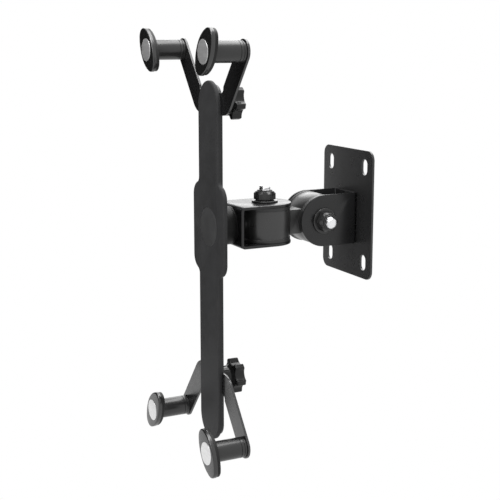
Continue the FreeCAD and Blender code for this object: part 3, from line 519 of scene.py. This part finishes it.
class HardwareSettings(bpy.types.PropertyGroup):
    """Hinge bolts, nuts and washers."""

    across: size_setting("Across Flats", "Hexagon width of a lock nut", 13)
    shank: size_setting("Bolt", "Bolt diameter", 8)
    head: size_setting("Head", "Height of a bolt's low head", 2)
    head_width: size_setting("Head Width", "Across a bolt's head", 14)
    key: size_setting("Socket", "Hexagon socket across flats", 5)
    key_depth: size_setting("Socket Depth", "Depth of the hexagon socket", 1.2)
    pitch: size_setting("Pitch", "Thread pitch", 1.25)
    threaded: size_setting("Threaded Length", "Thread from the tip, as far as it shows", 14)
    tip: size_setting("Tip", "Length of the bolt's bevelled tip", 0.9)
    clearance: size_setting("Clearance", "Room round a bolt in its nut and washers", 0.05)
    liner: size_setting("Liner", "Friction washer's thickness", 2.5)
    bolt_colour: colour_setting("Zinc", "Colour of the bolts", (0.78, 0.78, 0.79))
    nut_colour: colour_setting("Black Oxide", "Colour of the nuts and washers", (0.02, 0.02, 0.02))
    liner_colour: colour_setting("Nylon", "Colour of the friction washers", (0.02, 0.02, 0.02))


class CoverSettings(bpy.types.PropertyGroup):
    """Front cover and its cap."""

    colour: colour_setting("Charcoal", "Colour of the front cover", (0.043, 0.043, 0.044))
    cap_colour: colour_setting("Cap", "Colour of the round cap", (0.056, 0.056, 0.057))
    grain: FloatProperty(name="Grain", description="Grains per metre of the moulded texture", default=2200.0)
    width: size_setting("Width", "Narrow ends of the cover", 30.6)
    corner: size_setting("Corner", "Corners of the cover's solid", 13)
    front_edge: size_setting("Front Edge", "Rounding of the solid's front edge", 1.25)
    end_rise: size_setting("End Rise", "Height of each oval end", 17)
    wide: size_setting("Wide Middle", "Wide middle of the cover", 49)
    wide_top: size_setting("Wide Top", "Wide middle of the solid above the pivot", 29)
    wide_bottom: size_setting("Wide Bottom", "Wide middle of the solid below the pivot", 31.5)
    shoulder: size_setting("Shoulder", "Outer corners of the solid's shoulders", 7)
    blend: size_setting("Blend", "Inner corners of the solid's shoulders", 2)
    shoulder_below: size_setting("Shoulder Below", "Start of a shoulder before the wide middle's end", 9.5)
    shoulder_above: size_setting("Shoulder Above", "End of a shoulder past the wide middle's end", 3.5)
    shoulder_share: FloatProperty(
        name="Shoulder Share", description="Outer arc's part of a shoulder", default=0.7, min=0.0, max=1.0
    )
    edge: size_setting("Edge", "Rounding of the back edges", 0.25)
    cap_rise: size_setting("Cap Rise", "Dome of the round cap", 0.5)
    cap_rim: size_setting("Cap Rim", "Rim of the cap in its recess", 1)
    cap_edge: size_setting("Cap Edge", "Rounding of the cap's rim", 0.2)
    cap_plug: size_setting("Cap Plug", "Across the plug behind", 19.6)


class SpoolSettings(bpy.types.PropertyGroup):
    """Spools that take the tablet's edges."""

    length: size_setting("Flange Length", "Long way of the oval", 33)
    width: size_setting("Flange Width", "Short way of the oval", 19.7)
    end_radius: size_setting("End Radius", "Ends of the oval", 6.5)
    tilt: angle_setting("Tilt", "Long way of the oval from upright", 36.4)
    pad_inset: size_setting("Pad Inset", "Inner flange inside the outer one, all round", 0.35)
    sleeve: size_setting("Sleeve", "Sleeve diameter", 13.6)
    bore: size_setting("Bore", "Radius of the sleeve's bore", 4.05)
    groove: size_setting("Groove", "Depth and width of the grooves beside the collars", 0.35)
    disc_radius: size_setting("Disc Radius", "Radius of the bare disc", 7.6)
    seat_radius: size_setting("Seat Radius", "Radius of the disc's seat", 7.7)
    seat_depth: size_setting("Seat Depth", "Depth of the disc's seat", 0.5)
    rubber: colour_setting("Rubber", "Colour of the sleeves", (0.014, 0.014, 0.014))
    pad: colour_setting("Pad", "Colour of the inner flanges", (0.009, 0.009, 0.009))
    shell: colour_setting("Shell", "Colour of the outer flanges", (0.011, 0.011, 0.011))
    steel: colour_setting("Bare Steel", "Colour of the round discs", (0.78, 0.78, 0.78))


class KnobSettings(bpy.types.PropertyGroup):
    """Star knobs behind the bar."""

    lobes: IntProperty(name="Lobes", description="Lobes of the star", default=6, min=3)
    diameter: size_setting("Diameter", "Across the lobes", 24)
    hollow: size_setting("Hollow", "Depth between lobes", 3.2)
    scallop: size_setting("Scallop", "Radius of a hollow", 5.2)
    softness: size_setting("Softness", "Rounding between hollow and lobe", 0.9)
    core: size_setting("Core", "Radius that the hollows don't touch", 8.4)
    turn: angle_setting("Turn", "First hollow from upright", 13.3)
    neck: size_setting("Neck", "Radius of the neck", 6.5)
    neck_straight: size_setting("Straight Neck", "Neck before it flares", 6.3)
    flare: size_setting("Flare", "Radius where the neck meets the star", 8.3)
    star_front: size_setting("Star Front", "Where the star starts, from the neck's end", 8.3)
    star_back: size_setting("Star Back", "Where the star ends, from the neck's end", 15.3)
    crown_foot: size_setting("Crown Foot", "Radius of the crown behind the star", 7)
    crown: size_setting("Crown", "Radius of the crown's end", 5.6)
    bore: size_setting("Bore", "Radius of the insert's hole", 4.55)
    bore_depth: size_setting("Bore Depth", "Depth of the insert's hole", 14)
    colour: colour_setting("Plastic", "Colour of the knobs", (0.014, 0.014, 0.014))
    insert_colour: colour_setting("Brass", "Colour of the threaded inserts", (0.6, 0.45, 0.18))


SETTINGS = {
    "mount_stage": StageSettings,
    "mount_metal": MetalSettings,
    "mount_hardware": HardwareSettings,
    "mount_cover": CoverSettings,
    "mount_spools": SpoolSettings,
    "mount_knobs": KnobSettings,
}


# Pieces


class PieceOperator:
    bl_options = {"REGISTER", "UNDO"}


class MOUNT_OT_stage(PieceOperator, bpy.types.Operator):
    """Adds the floor, the light and the camera"""

    bl_idname = "mount.stage"
    bl_label = "Stage"

    def execute(self, context):
        settings = context.scene.mount_stage
        scene = context.scene
        scene.view_settings.view_transform = "Standard"
        self.make_floor(settings)
        self.make_card(settings)
        self.make_world(scene, settings)
        self.make_lamps()
        camera = link_object("Camera", bpy.data.cameras.new("Camera"))
        camera.data.lens = settings.lens
        camera.data.sensor_width = 36
        camera.data.clip_start = 0.01
        camera.location = settings.camera_place
        camera.rotation_euler = (math.pi / 2 - settings.elevation, 0, settings.azimuth)
        scene.camera = camera
        return {"FINISHED"}

    def make_floor(self, settings):
        level = CAD_BOX[0][2] - settings.floor_drop
        reach = settings.floor_reach
        corners = [(x * reach, y * reach, level) for x, y in ((-1, -1), (1, -1), (1, 1), (-1, 1))]
        material = bpy.data.materials.new("pale_floor")
        graph = empty_graph(material)
        plain = graph.add("ShaderNodeBsdfDiffuse", {"Color": grey(0.8)})
        white = graph.add("ShaderNodeEmission", {"Color": grey(1), "Strength": 1.0})
        lit_but_white(graph, plain, white, "ShaderNodeOutputMaterial")
        link_mesh("floor", corners, [(0, 1, 2, 3)], material)

    def make_card(self, settings):
        """A dark card that shows only in the gloss of what faces the room, square to the mirrored view."""
        away = Vector((-math.sin(settings.azimuth), -math.cos(settings.azimuth)))
        along = Vector((away.y, -away.x))
        middle = away * settings.card_away
        near_wall = middle + along * settings.card_edge
        far = middle + along * (settings.card_edge - settings.card_size)
        low, high = settings.card_low, settings.card_low + settings.card_size
        corners = [(*near_wall, low), (*far, low), (*far, high), (*near_wall, high)]
        material = bpy.data.materials.new("dark_card")
        graph = empty_graph(material)
        plain = graph.add("ShaderNodeBsdfDiffuse", {"Color": grey(0.01)})
        graph.add("ShaderNodeOutputMaterial", {0: plain.outputs[0]})
        card = link_mesh("dark_card", corners, [(0, 1, 2, 3)], material)
        for ray in ("camera", "diffuse", "transmission", "volume_scatter", "shadow"):
            setattr(card, "visible_" + ray, False)

    def make_world(self, scene, settings):
        scene.world = bpy.data.worlds.new("studio")
        graph = empty_graph(scene.world)
        fill = graph.add("ShaderNodeBackground", {"Color": grey(1), "Strength": settings.fill})
        white = graph.add("ShaderNodeBackground", {"Color": grey(1), "Strength": 1.0})
        lit_but_white(graph, fill, white, "ShaderNodeOutputWorld")

    def make_lamps(self):
        for name, place, aim, size, power in LAMPS:
            lamp = link_object(name, bpy.data.lights.new(name, "AREA"))
            lamp.data.shape = "SQUARE"
            lamp.data.size = size
            lamp.data.energy = power
            lamp.location = place
            lamp.rotation_euler = (Vector(aim) - Vector(place)).to_track_quat("-Z", "Y").to_euler()


class MOUNT_OT_metal(PieceOperator, bpy.types.Operator):
    """Gives the plate, clevises, knuckle, hub, rail and arm plates their coat and eased edges"""

    bl_idname = "mount.metal"
    bl_label = "Coated Metal"

    def execute(self, context):
        settings = context.scene.mount_metal
        plate = finish(
            "powder_coat", settings.colour, 0.28, specular=0.65, grain=2000, mottle=0.05, spread=0.02
        )
        coat = finish(
            "clevis_coat", settings.clevis_colour, 0.28, specular=0.45, grain=2000, mottle=0.05, spread=0.03
        )
        cast = finish(
            "black_casting", settings.cast_colour, 0.3, specular=0.7, grain=1400, bump=0.2, spread=0.06
        )
        # Hub finish: black, darkened further as painted shade for the gap between the bar and the clevis base
        hub = finish("hub_painted_shade", settings.hub_shade_colour, 0.5, specular=0.15, grain=1400)
        enamel = finish("arm_enamel", settings.arm_colour, 0.28, specular=0.85, grain=1400, bump=0.12)
        rail = finish("rail_coat", settings.arm_colour, 0.4, specular=0.4, grain=1400, bump=0.2)
        pieces = (
            ("wall_clevis", "base", coat),
            ("knuckle", "arm", cast),
            ("holder_clevis", "head", coat),
            ("pivot_hub", "holder", hub),
            ("back_rail", "holder", rail),
        )
        for node, body, material in pieces:
            seat(eased_copy(node, settings.edge, material), body, "powder_coat", node)
        paint("wall_plate", plate)
        # The pivot washer takes the hub's painted shade as well
        paint("pivot_washer", hub)
        for end in CARRIAGES:
            paint(end + "_arm_plate", enamel)
        return {"FINISHED"}


class MOUNT_OT_hardware(PieceOperator, bpy.types.Operator):
    """Makes the hinge bolts, lock nuts and washers"""

    bl_idname = "mount.hardware"
    bl_label = "Hinge Hardware"

    def execute(self, context):
        settings = context.scene.mount_hardware
        zinc = finish("bright_zinc", settings.bolt_colour, 0.22, metallic=1.0, grain=1500, bump=0.08)
        oxide = finish("black_oxide", settings.nut_colour, 0.26, grain=1500)
        nylon = finish("black_nylon", settings.liner_colour, 0.38, grain=1800, bump=0.15)
        hinges = (
            ("tilt", "base", (0, 0, math.pi / 2), Vector((1, 0, 0))),
            ("swivel", "head", (-math.pi / 2, 0, 0), Vector((0, 0, 1))),
        )
        pair = make_pair_tree()
        for hinge, body, turn, axis in hinges:
            centre = joint_place(hinge)
            start, length, _ = node_span(hinge + "_bolt", centre, axis)
            bolt = self.make_bolt(hinge + "_bolt_turned", settings, length, zinc)
            put(bolt, centre + axis * (start + settings.head), turn)
            seat(bolt, body, "zinc_steel", hinge + "_bolt")
            start, length, _ = node_span(hinge + "_nut", centre, axis)
            nut = self.make_nut(hinge + "_lock_nut", settings, length, oxide)
            put(nut, centre + axis * start, turn)
            seat(nut, body, "black_steel", hinge + "_nut")
            start, length, rim = node_span(hinge + "_washer", centre, axis)
            washer = self.make_ring(hinge + "_thin_washer", settings, rim, length, oxide)
            put(washer, centre + axis * start, turn)
            seat(washer, body, "black_steel", hinge + "_washer")
            _, length, rim = node_span(hinge + "_friction_washers", centre, axis)
            liner = self.make_ring("template", settings, rim, settings.liner)
            offset = axis * (length / 2 - settings.liner)
            values = {"Centre": centre, "Offset": offset, "Turn": turn, "Material": nylon}
            liners = through_tree(liner, pair, values, hinge + "_liners")
            seat(liners, body, "nylon", hinge + "_friction_washers")
        return {"FINISHED"}

    def make_bolt(self, name, settings, length, material):
        """Low round head with a hexagon socket, and a threaded shank; the head bears at distance 0."""
        head = settings.head
        rim = settings.head_width / 2
        flat = settings.key / 2
        corner = flat * 1.15
        floor = settings.key_depth - head

        def socket(angle, radius, out):
            within = radius < corner * 1.05
            return hexagon(angle, radius, flat) if within else radius

        profile = [
            (0, floor, 0), (corner, floor, 0), (corner, -head, 0), (rim, -head, head * 0.4), (rim, 0, 0),
            (0, 0, 0),
        ]
        turned = lathe(name + "_head", profile, material, section=socket, smooth=30)
        shank = self.make_thread(name + "_shank", settings, length - head, material)
        return join(name, turned, shank)

    def make_thread(self, name, settings, length, material):
        """A shank with a single-start thread over the length that shows."""
        rows_a_turn = 8
        radius = settings.shank / 2
        depth = settings.pitch * 0.3
        threaded, tip = settings.threaded, settings.tip
        rows = int(threaded / settings.pitch * rows_a_turn)
        point, crest = radius - tip * 1.1, radius - depth * 0.2
        profile = [(0, length, 0), (point, length, 0), (crest, length - tip, 0)]
        for row in range(1, rows):
            profile.append((radius, length - tip - (threaded - tip) * row / rows, 0))
        profile += [(radius, 0, 0), (0, 0, 0)]

        def thread(angle, reach, out):
            from_tip = length - out
            if from_tip > threaded or reach < radius - tip:
                return reach
            phase = (from_tip / settings.pitch + angle / math.tau) % 1
            ridge = 1 - abs(2 * phase - 1)
            return min(reach, radius - depth * (1 - ridge))

        return lathe(name, profile, material, steps=64, section=thread, smooth=50)

    def make_nut(self, name, settings, height, material):
        """Lock nut: a hexagon bevelled at both faces, with a rounded crown over its locking ring."""
        flat = settings.across / 2
        corner = flat / math.cos(math.pi / 6)
        low_bevel, high_bevel = 0.75 * MM, 1.6 * MM
        bore = settings.shank / 2 + settings.clearance
        face, shoulder, crown = flat * 0.93, flat * 0.9, flat * 0.8
        body = height * 0.88
        profile = [
            (bore, 0, 0), (face, 0, 0), (corner, low_bevel, 0), (corner, body - high_bevel, 0),
            (shoulder, body, 0.3 * MM), (crown, body, 0), (crown, height, 0.5 * MM), (bore, height, 0.3 * MM),
        ]

        def outline(angle, radius, out):
            return hexagon(angle, radius, flat)

        return lathe(name, profile, material, steps=TURN_STEPS * 2, section=outline, smooth=22)

    def make_ring(self, name, settings, rim, thick, material=None):
        """Flat washer with rolled edges, from distance 0 outwards."""
        bore = settings.shank / 2 + settings.clearance
        roll = min(0.35 * MM, thick / 3)
        return lathe(name, [(bore, 0, 0), (rim, 0, roll), (rim, thick, roll), (bore, thick, 0)], material)


class MOUNT_OT_cover(PieceOperator, bpy.types.Operator):
    """Gives the front cover its outline, and the cover, its cap and the spacer behind it their finish"""

    bl_idname = "mount.cover"
    bl_label = "Front Cover"

    def execute(self, context):
        settings = context.scene.mount_cover
        grain = settings.grain
        charcoal = finish(
            "cover_charcoal", settings.colour, 0.5, specular=0.05, grain=grain, bump=0.35, depth=0.1 * MM
        )
        smooth = finish("cap_charcoal", settings.cap_colour, 0.36, grain=grain)
        cover = eased_copy(
            "front_cover", settings.edge, charcoal, lambda shape: self.soften_outline(shape, settings)
        )
        seat(cover, "holder", "cover_plastic", "front_cover")
        paint("centre_spacer", charcoal)
        low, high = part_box("centre_cap")
        cap = self.make_dome(settings, (high.x - low.x) / 2, high.y - low.y, smooth)
        middle = node_centre("centre_cap")
        put(cap, (middle.x, high.y, middle.z))
        seat(cap, "holder", "cover_plastic", "centre_cap")
        return {"FINISHED"}

    def soften_outline(self, shape, settings):
        """Gives the copy of the cover its oval ends and long soft shoulders."""
        low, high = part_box("front_cover")
        axis = joint_place("rotate").z
        for vert in shape.verts:
            side = math.copysign(1, vert.co.x)
            way = math.copysign(1, vert.co.z - axis)
            end = high.z - axis if way > 0 else axis - low.z
            middle = settings.wide_top if way > 0 else settings.wide_bottom
            spot = self.soft_place(settings, abs(vert.co.x), abs(vert.co.z - axis), end, middle)
            if spot:
                vert.co.x = side * spot.x
                vert.co.z = axis + way * spot.y

    def soft_place(self, settings, x, up, end, middle):
        """Where a point on one of the solid's round corners goes, or nothing for any other point."""
        half, corner = settings.width / 2, settings.corner
        wide, outer, inner = settings.wide / 2, settings.shoulder, settings.blend
        place = self.round_place(settings, x - half + corner, up - end + corner, corner)
        if place:
            return self.oval_end(settings, *place, end)
        place = self.round_place(settings, x - wide + outer, up - middle + outer, outer)
        if place:
            return self.outer_shoulder(settings, *place, middle)
        place = self.round_place(settings, middle + inner - up, half + inner - x, inner, -1)
        if place:
            return self.inner_shoulder(settings, *place, middle)
        return None

    def round_place(self, settings, across, along, radius, way=1):
        """Angle on a round corner of the solid and distance inside its outline, or nothing off the corner."""
        slack = 0.005 * MM
        inset = (radius - math.hypot(across, along)) * way
        if min(across, along, inset) < -slack or inset > settings.front_edge:
            return None
        return math.atan2(along, across), inset

    def oval_end(self, settings, lean, inset, end):
        """A place on the half ellipse that closes an end of the cover."""
        half, rise = settings.width / 2, settings.end_rise
        rim = Vector((half * math.cos(lean), end - rise + rise * math.sin(lean)))
        outward = Vector((math.cos(lean) / half, math.sin(lean) / rise)).normalized()
        return rim - outward * inset

    def shoulder_arcs(self, settings):
        """Angle of the two arcs that lead from the wide middle to a narrow end, and their radii."""
        step = (settings.wide - settings.width) / 2
        run = settings.shoulder_below + settings.shoulder_above
        sweep = 2 * math.atan2(step, run)
        both = run / math.sin(sweep)
        large = both * settings.shoulder_share
        return sweep, large, both - large

    def outer_shoulder(self, settings, lean, inset, middle):
        """A place on the arc that leaves the wide middle."""
        sweep, large, _ = self.shoulder_arcs(settings)
        turn = sweep * lean / (math.pi / 2)
        centre = Vector((settings.wide / 2 - large, middle - settings.shoulder_below))
        return centre + (large - inset) * Vector((math.cos(turn), math.sin(turn)))

    def inner_shoulder(self, settings, lean, inset, middle):
        """A place on the arc that runs into a narrow end."""
        sweep, _, small = self.shoulder_arcs(settings)
        turn = sweep - sweep * lean / (math.pi / 2)
        centre = Vector((settings.width / 2 + small, middle + settings.shoulder_above))
        return centre - (small + inset) * Vector((math.cos(turn), math.sin(turn)))

    def make_dome(self, settings, rim, depth, material):
        """Round cap with a plug behind and a low dome in front."""
        rings = 8
        plug = settings.cap_plug / 2
        edge_level = depth - settings.cap_rise
        rim_level = edge_level - settings.cap_rim
        profile = [(0, 0, 0), (plug, 0, 0), (plug, rim_level, 0), (rim, rim_level, 0)]
        profile.append((rim, edge_level, settings.cap_edge))
        for ring in range(1, rings):
            share = 1 - ring / rings
            profile.append((rim * share, depth - settings.cap_rise * share ** 2, 0))
        profile.append((0, depth, 0))
        return lathe("domed_cap", profile, material)


class MOUNT_OT_spools(PieceOperator, bpy.types.Operator):
    """Makes the four spools: sleeves, two-layer oval flanges and bare discs"""

    bl_idname = "mount.spools"
    bl_label = "Spools"

    def execute(self, context):
        settings = context.scene.mount_spools
        rubber = finish("sleeve_rubber", settings.rubber, 0.3, specular=0.6, grain=1200, spread=0.04)
        liner = finish("flange_rubber", settings.pad, 0.5, specular=0.3, grain=1200, bump=0.12)
        shell = finish("flange_shell", settings.shell, 0.26, specular=0.8, grain=1600, bump=0.08)
        steel = finish(
            "bare_disc", settings.steel, 0.36, metallic=0.7, grain=1200, bump=0.15, stretch=(1, 1, 8)
        )
        oxide = bpy.data.materials["black_oxide"]
        pair = make_pair_tree()
        for end in CARRIAGES:
            right = node_centre(end + "_right_sleeve")
            tilt = settings.tilt if end == "top" else -settings.tilt
            kinds = (
                ("sleeve", self.make_sleeve, rubber, "soft_rubber", 0),
                ("flange_pad", self.make_pad, liner, "soft_rubber", tilt),
                ("flange_cap", self.make_cap, shell, "black_plastic", tilt),
                ("disc", self.make_disc, steel, "bare_steel", 0),
            )
            for kind, make, material, slot, turn in kinds:
                low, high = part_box("%s_right_%s" % (end, kind))
                template = make(settings, high.y - low.y)
                values = {
                    "Centre": (0, high.y, right.z), "Offset": (right.x, 0, 0), "Turn": (0, turn, 0),
                    "Material": material,
                }
                piece = through_tree(template, pair, values, "%s_%ss" % (end, kind))
                nodes = ["%s_%s_%s" % (end, side, kind) for side in SPOOLS]
                seat(piece, end + "_carriage", slot, *nodes)
            paint(end + "_spool_screws", oxide)
        return {"FINISHED"}

    def make_sleeve(self, settings, length):
        """Moulded sleeve with two narrow grooves, which leave two collars where it meets the arm plate."""
        radius, bore, groove = settings.sleeve / 2, settings.bore, settings.groove
        lip = 0.1 * MM
        profile = [(bore, 0, 0), (radius, 0, 0.3 * MM)]
        for start in (1.5 * MM, 3.6 * MM):
            profile.append((radius, start, lip))
            profile.append((radius - groove, start + groove / 2, 0))
            profile.append((radius, start + groove, lip))
        profile += [(radius, length, 0.7 * MM), (bore, length, 0)]
        return lathe("template", profile)

    def make_pad(self, settings, thick):
        return self.make_oval(settings, thick, 0.5 * MM, 0.25 * MM, inset=settings.pad_inset)

    def make_cap(self, settings, thick):
        return self.make_oval(settings, thick, 0.25 * MM, 0.9 * MM, seat_radius=settings.seat_radius)

    def make_disc(self, settings, thick):
        radius = settings.disc_radius
        return lathe("template", [(0, 0, 0), (radius, 0, 0), (radius, thick, 0.25 * MM), (0, thick, 0)])

    def make_oval(self, settings, thick, back_edge, front_edge, inset=0, seat_radius=None):
        """Oval plate with rounded rims, and a round seat for the disc if it has one."""
        leans = [math.pi / 2 * step / RIM_STEPS for step in range(RIM_STEPS + 1)]
        quarter = [(1 - math.sin(lean), 1 - math.cos(lean)) for lean in leans]
        rows = [(back_edge * shrink, back_edge * out) for shrink, out in quarter]
        rows += [(front_edge * out, thick - front_edge * shrink) for shrink, out in quarter]
        verts, rings = [], []
        for shrink, out in rows:
            points = [(x, -out, z) for x, z in self.oval_points(settings, inset + shrink)]
            rings.append(add_ring(verts, points))
        if seat_radius:
            rim = [seat_radius * Vector((verts[i][0], verts[i][2])).normalized() for i in rings[-1]]
            for out in (thick, thick - settings.seat_depth):
                rings.append(add_ring(verts, [(spot.x, -out, spot.y) for spot in rim]))
        faces = [tuple(rings[0]), tuple(reversed(rings[-1]))]
        for first, second in zip(rings, rings[1:]):
            faces += bridge(first, second)
        return link_mesh("template", verts, faces, smooth=30)

    def oval_points(self, settings, shrink):
        """An oval of four arcs, pulled in all round by shrink."""
        side_steps, end_steps = 16, 20
        half_width = settings.width / 2
        end = settings.end_radius
        shift = settings.length / 2 - end
        side = (shift ** 2 + half_width ** 2 - end ** 2) / (2 * (half_width - end))
        lean = math.atan2(shift, side - half_width)
        arcs = (
            ((half_width - side, 0), side, -lean, lean, side_steps),
            ((0, shift), end, lean, math.pi - lean, end_steps),
            ((side - half_width, 0), side, math.pi - lean, math.pi + lean, side_steps),
            ((0, -shift), end, math.pi + lean, math.tau - lean, end_steps),
        )
        points = []
        for (x, z), radius, start, stop, steps in arcs:
            reach = radius - shrink
            for step in range(steps):
                angle = start + (stop - start) * step / steps
                points.append((x + reach * math.cos(angle), z + reach * math.sin(angle)))
        return points


class MOUNT_OT_knobs(PieceOperator, bpy.types.Operator):
    """Makes the star knobs behind the bar"""

    bl_idname = "mount.knobs"
    bl_label = "Star Knobs"

    def execute(self, context):
        settings = context.scene.mount_knobs
        plastic = finish(
            "knob_plastic", settings.colour, 0.24, specular=0.3, grain=2600, bump=0.2, depth=0.08 * MM
        )
        brass = finish("insert_brass", settings.insert_colour, 0.3, metallic=1.0)
        star = make_star_tree()
        values = {
            "Lobes": settings.lobes, "Depth": settings.hollow, "Hollow Radius": settings.scallop,
            "Inner Radius": settings.core, "Outer Radius": settings.diameter / 2,
            "Phase": math.pi / 2 - settings.turn, "Softness": settings.softness, "Material": plastic,
        }
        for end in CARRIAGES:
            centre = joint_place(end + "_knob_turn")
            low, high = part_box(end + "_knob")
            template = self.make_body(settings, high.y - low.y)
            knob = through_tree(template, star, values, end + "_star_knob")
            put(knob, (centre.x, low.y, centre.z))
            seat(knob, end + "_knob_body", "black_plastic", end + "_knob")
            paint(end + "_knob_insert", brass)
        return {"FINISHED"}

    def make_body(self, settings, length):
        """Round body of a knob, from its neck at distance 0 towards the wall."""
        star, neck, bore = settings.diameter / 2, settings.neck, settings.bore
        front, back, deep = -settings.star_front, -settings.star_back, -settings.bore_depth
        profile = [
            (bore, deep, 0), (bore, 0, 0), (neck, 0, 0.4 * MM), (neck, -settings.neck_straight, 1 * MM),
            (settings.flare, front, 0.3 * MM), (star, front, 1 * MM), (star, back, 1 * MM),
            (settings.crown_foot, back, 0.8 * MM), (settings.crown, -length, 1 * MM), (0, -length, 0),
            (0, deep, 0),
        ]
        return lathe("template", profile, steps=TURN_STEPS * 2, smooth=40)


class MOUNT_OT_hidden(PieceOperator, bpy.types.Operator):
    """Finishes the small parts behind the cover, inside the clevis and in the spools"""

    bl_idname = "mount.hidden"
    bl_label = "Small Parts"

    def execute(self, context):
        zinc = bpy.data.materials["bright_zinc"]
        oxide = bpy.data.materials["black_oxide"]
        for node in ("pivot_screw", "pivot_nut", "pivot_nut_washer", "cover_screws"):
            paint(node, zinc)
        for end in CARRIAGES:
            paint(end + "_clamp_bolt", zinc)
            paint(end + "_clamp_washer", oxide)
            for side in SPOOLS:
                paint("%s_%s_post" % (end, side), zinc)
        return {"FINISHED"}


PIECES = (
    MOUNT_OT_stage, MOUNT_OT_metal, MOUNT_OT_hardware, MOUNT_OT_cover, MOUNT_OT_spools, MOUNT_OT_knobs,
    MOUNT_OT_hidden,
)


class MOUNT_PT_panel(bpy.types.Panel):
    """Lists the wall mount's pieces"""

    bl_idname = "MOUNT_PT_panel"
    bl_label = "Wall Mount"
    bl_space_type = "VIEW_3D"
    bl_region_type = "UI"
    bl_category = "Wall Mount"

    def draw(self, context):
        for piece in PIECES:
            self.layout.operator(piece.bl_idname)


def register():
    for group in SETTINGS.values():
        bpy.utils.register_class(group)
    for name, group in SETTINGS.items():
        setattr(bpy.types.Scene, name, PointerProperty(type=group))
    for item in PIECES + (MOUNT_PT_panel,):
        bpy.utils.register_class(item)


def unregister():
    for item in reversed(PIECES + (MOUNT_PT_panel,)):
        bpy.utils.unregister_class(item)
    for name in SETTINGS:
        delattr(bpy.types.Scene, name)
    for group in reversed(list(SETTINGS.values())):
        bpy.utils.unregister_class(group)


def main():
    register()
    for piece in PIECES:
        group, name = piece.bl_idname.split(".")
        getattr(getattr(bpy.ops, group), name)()


if __name__ == "__main__":
    main()
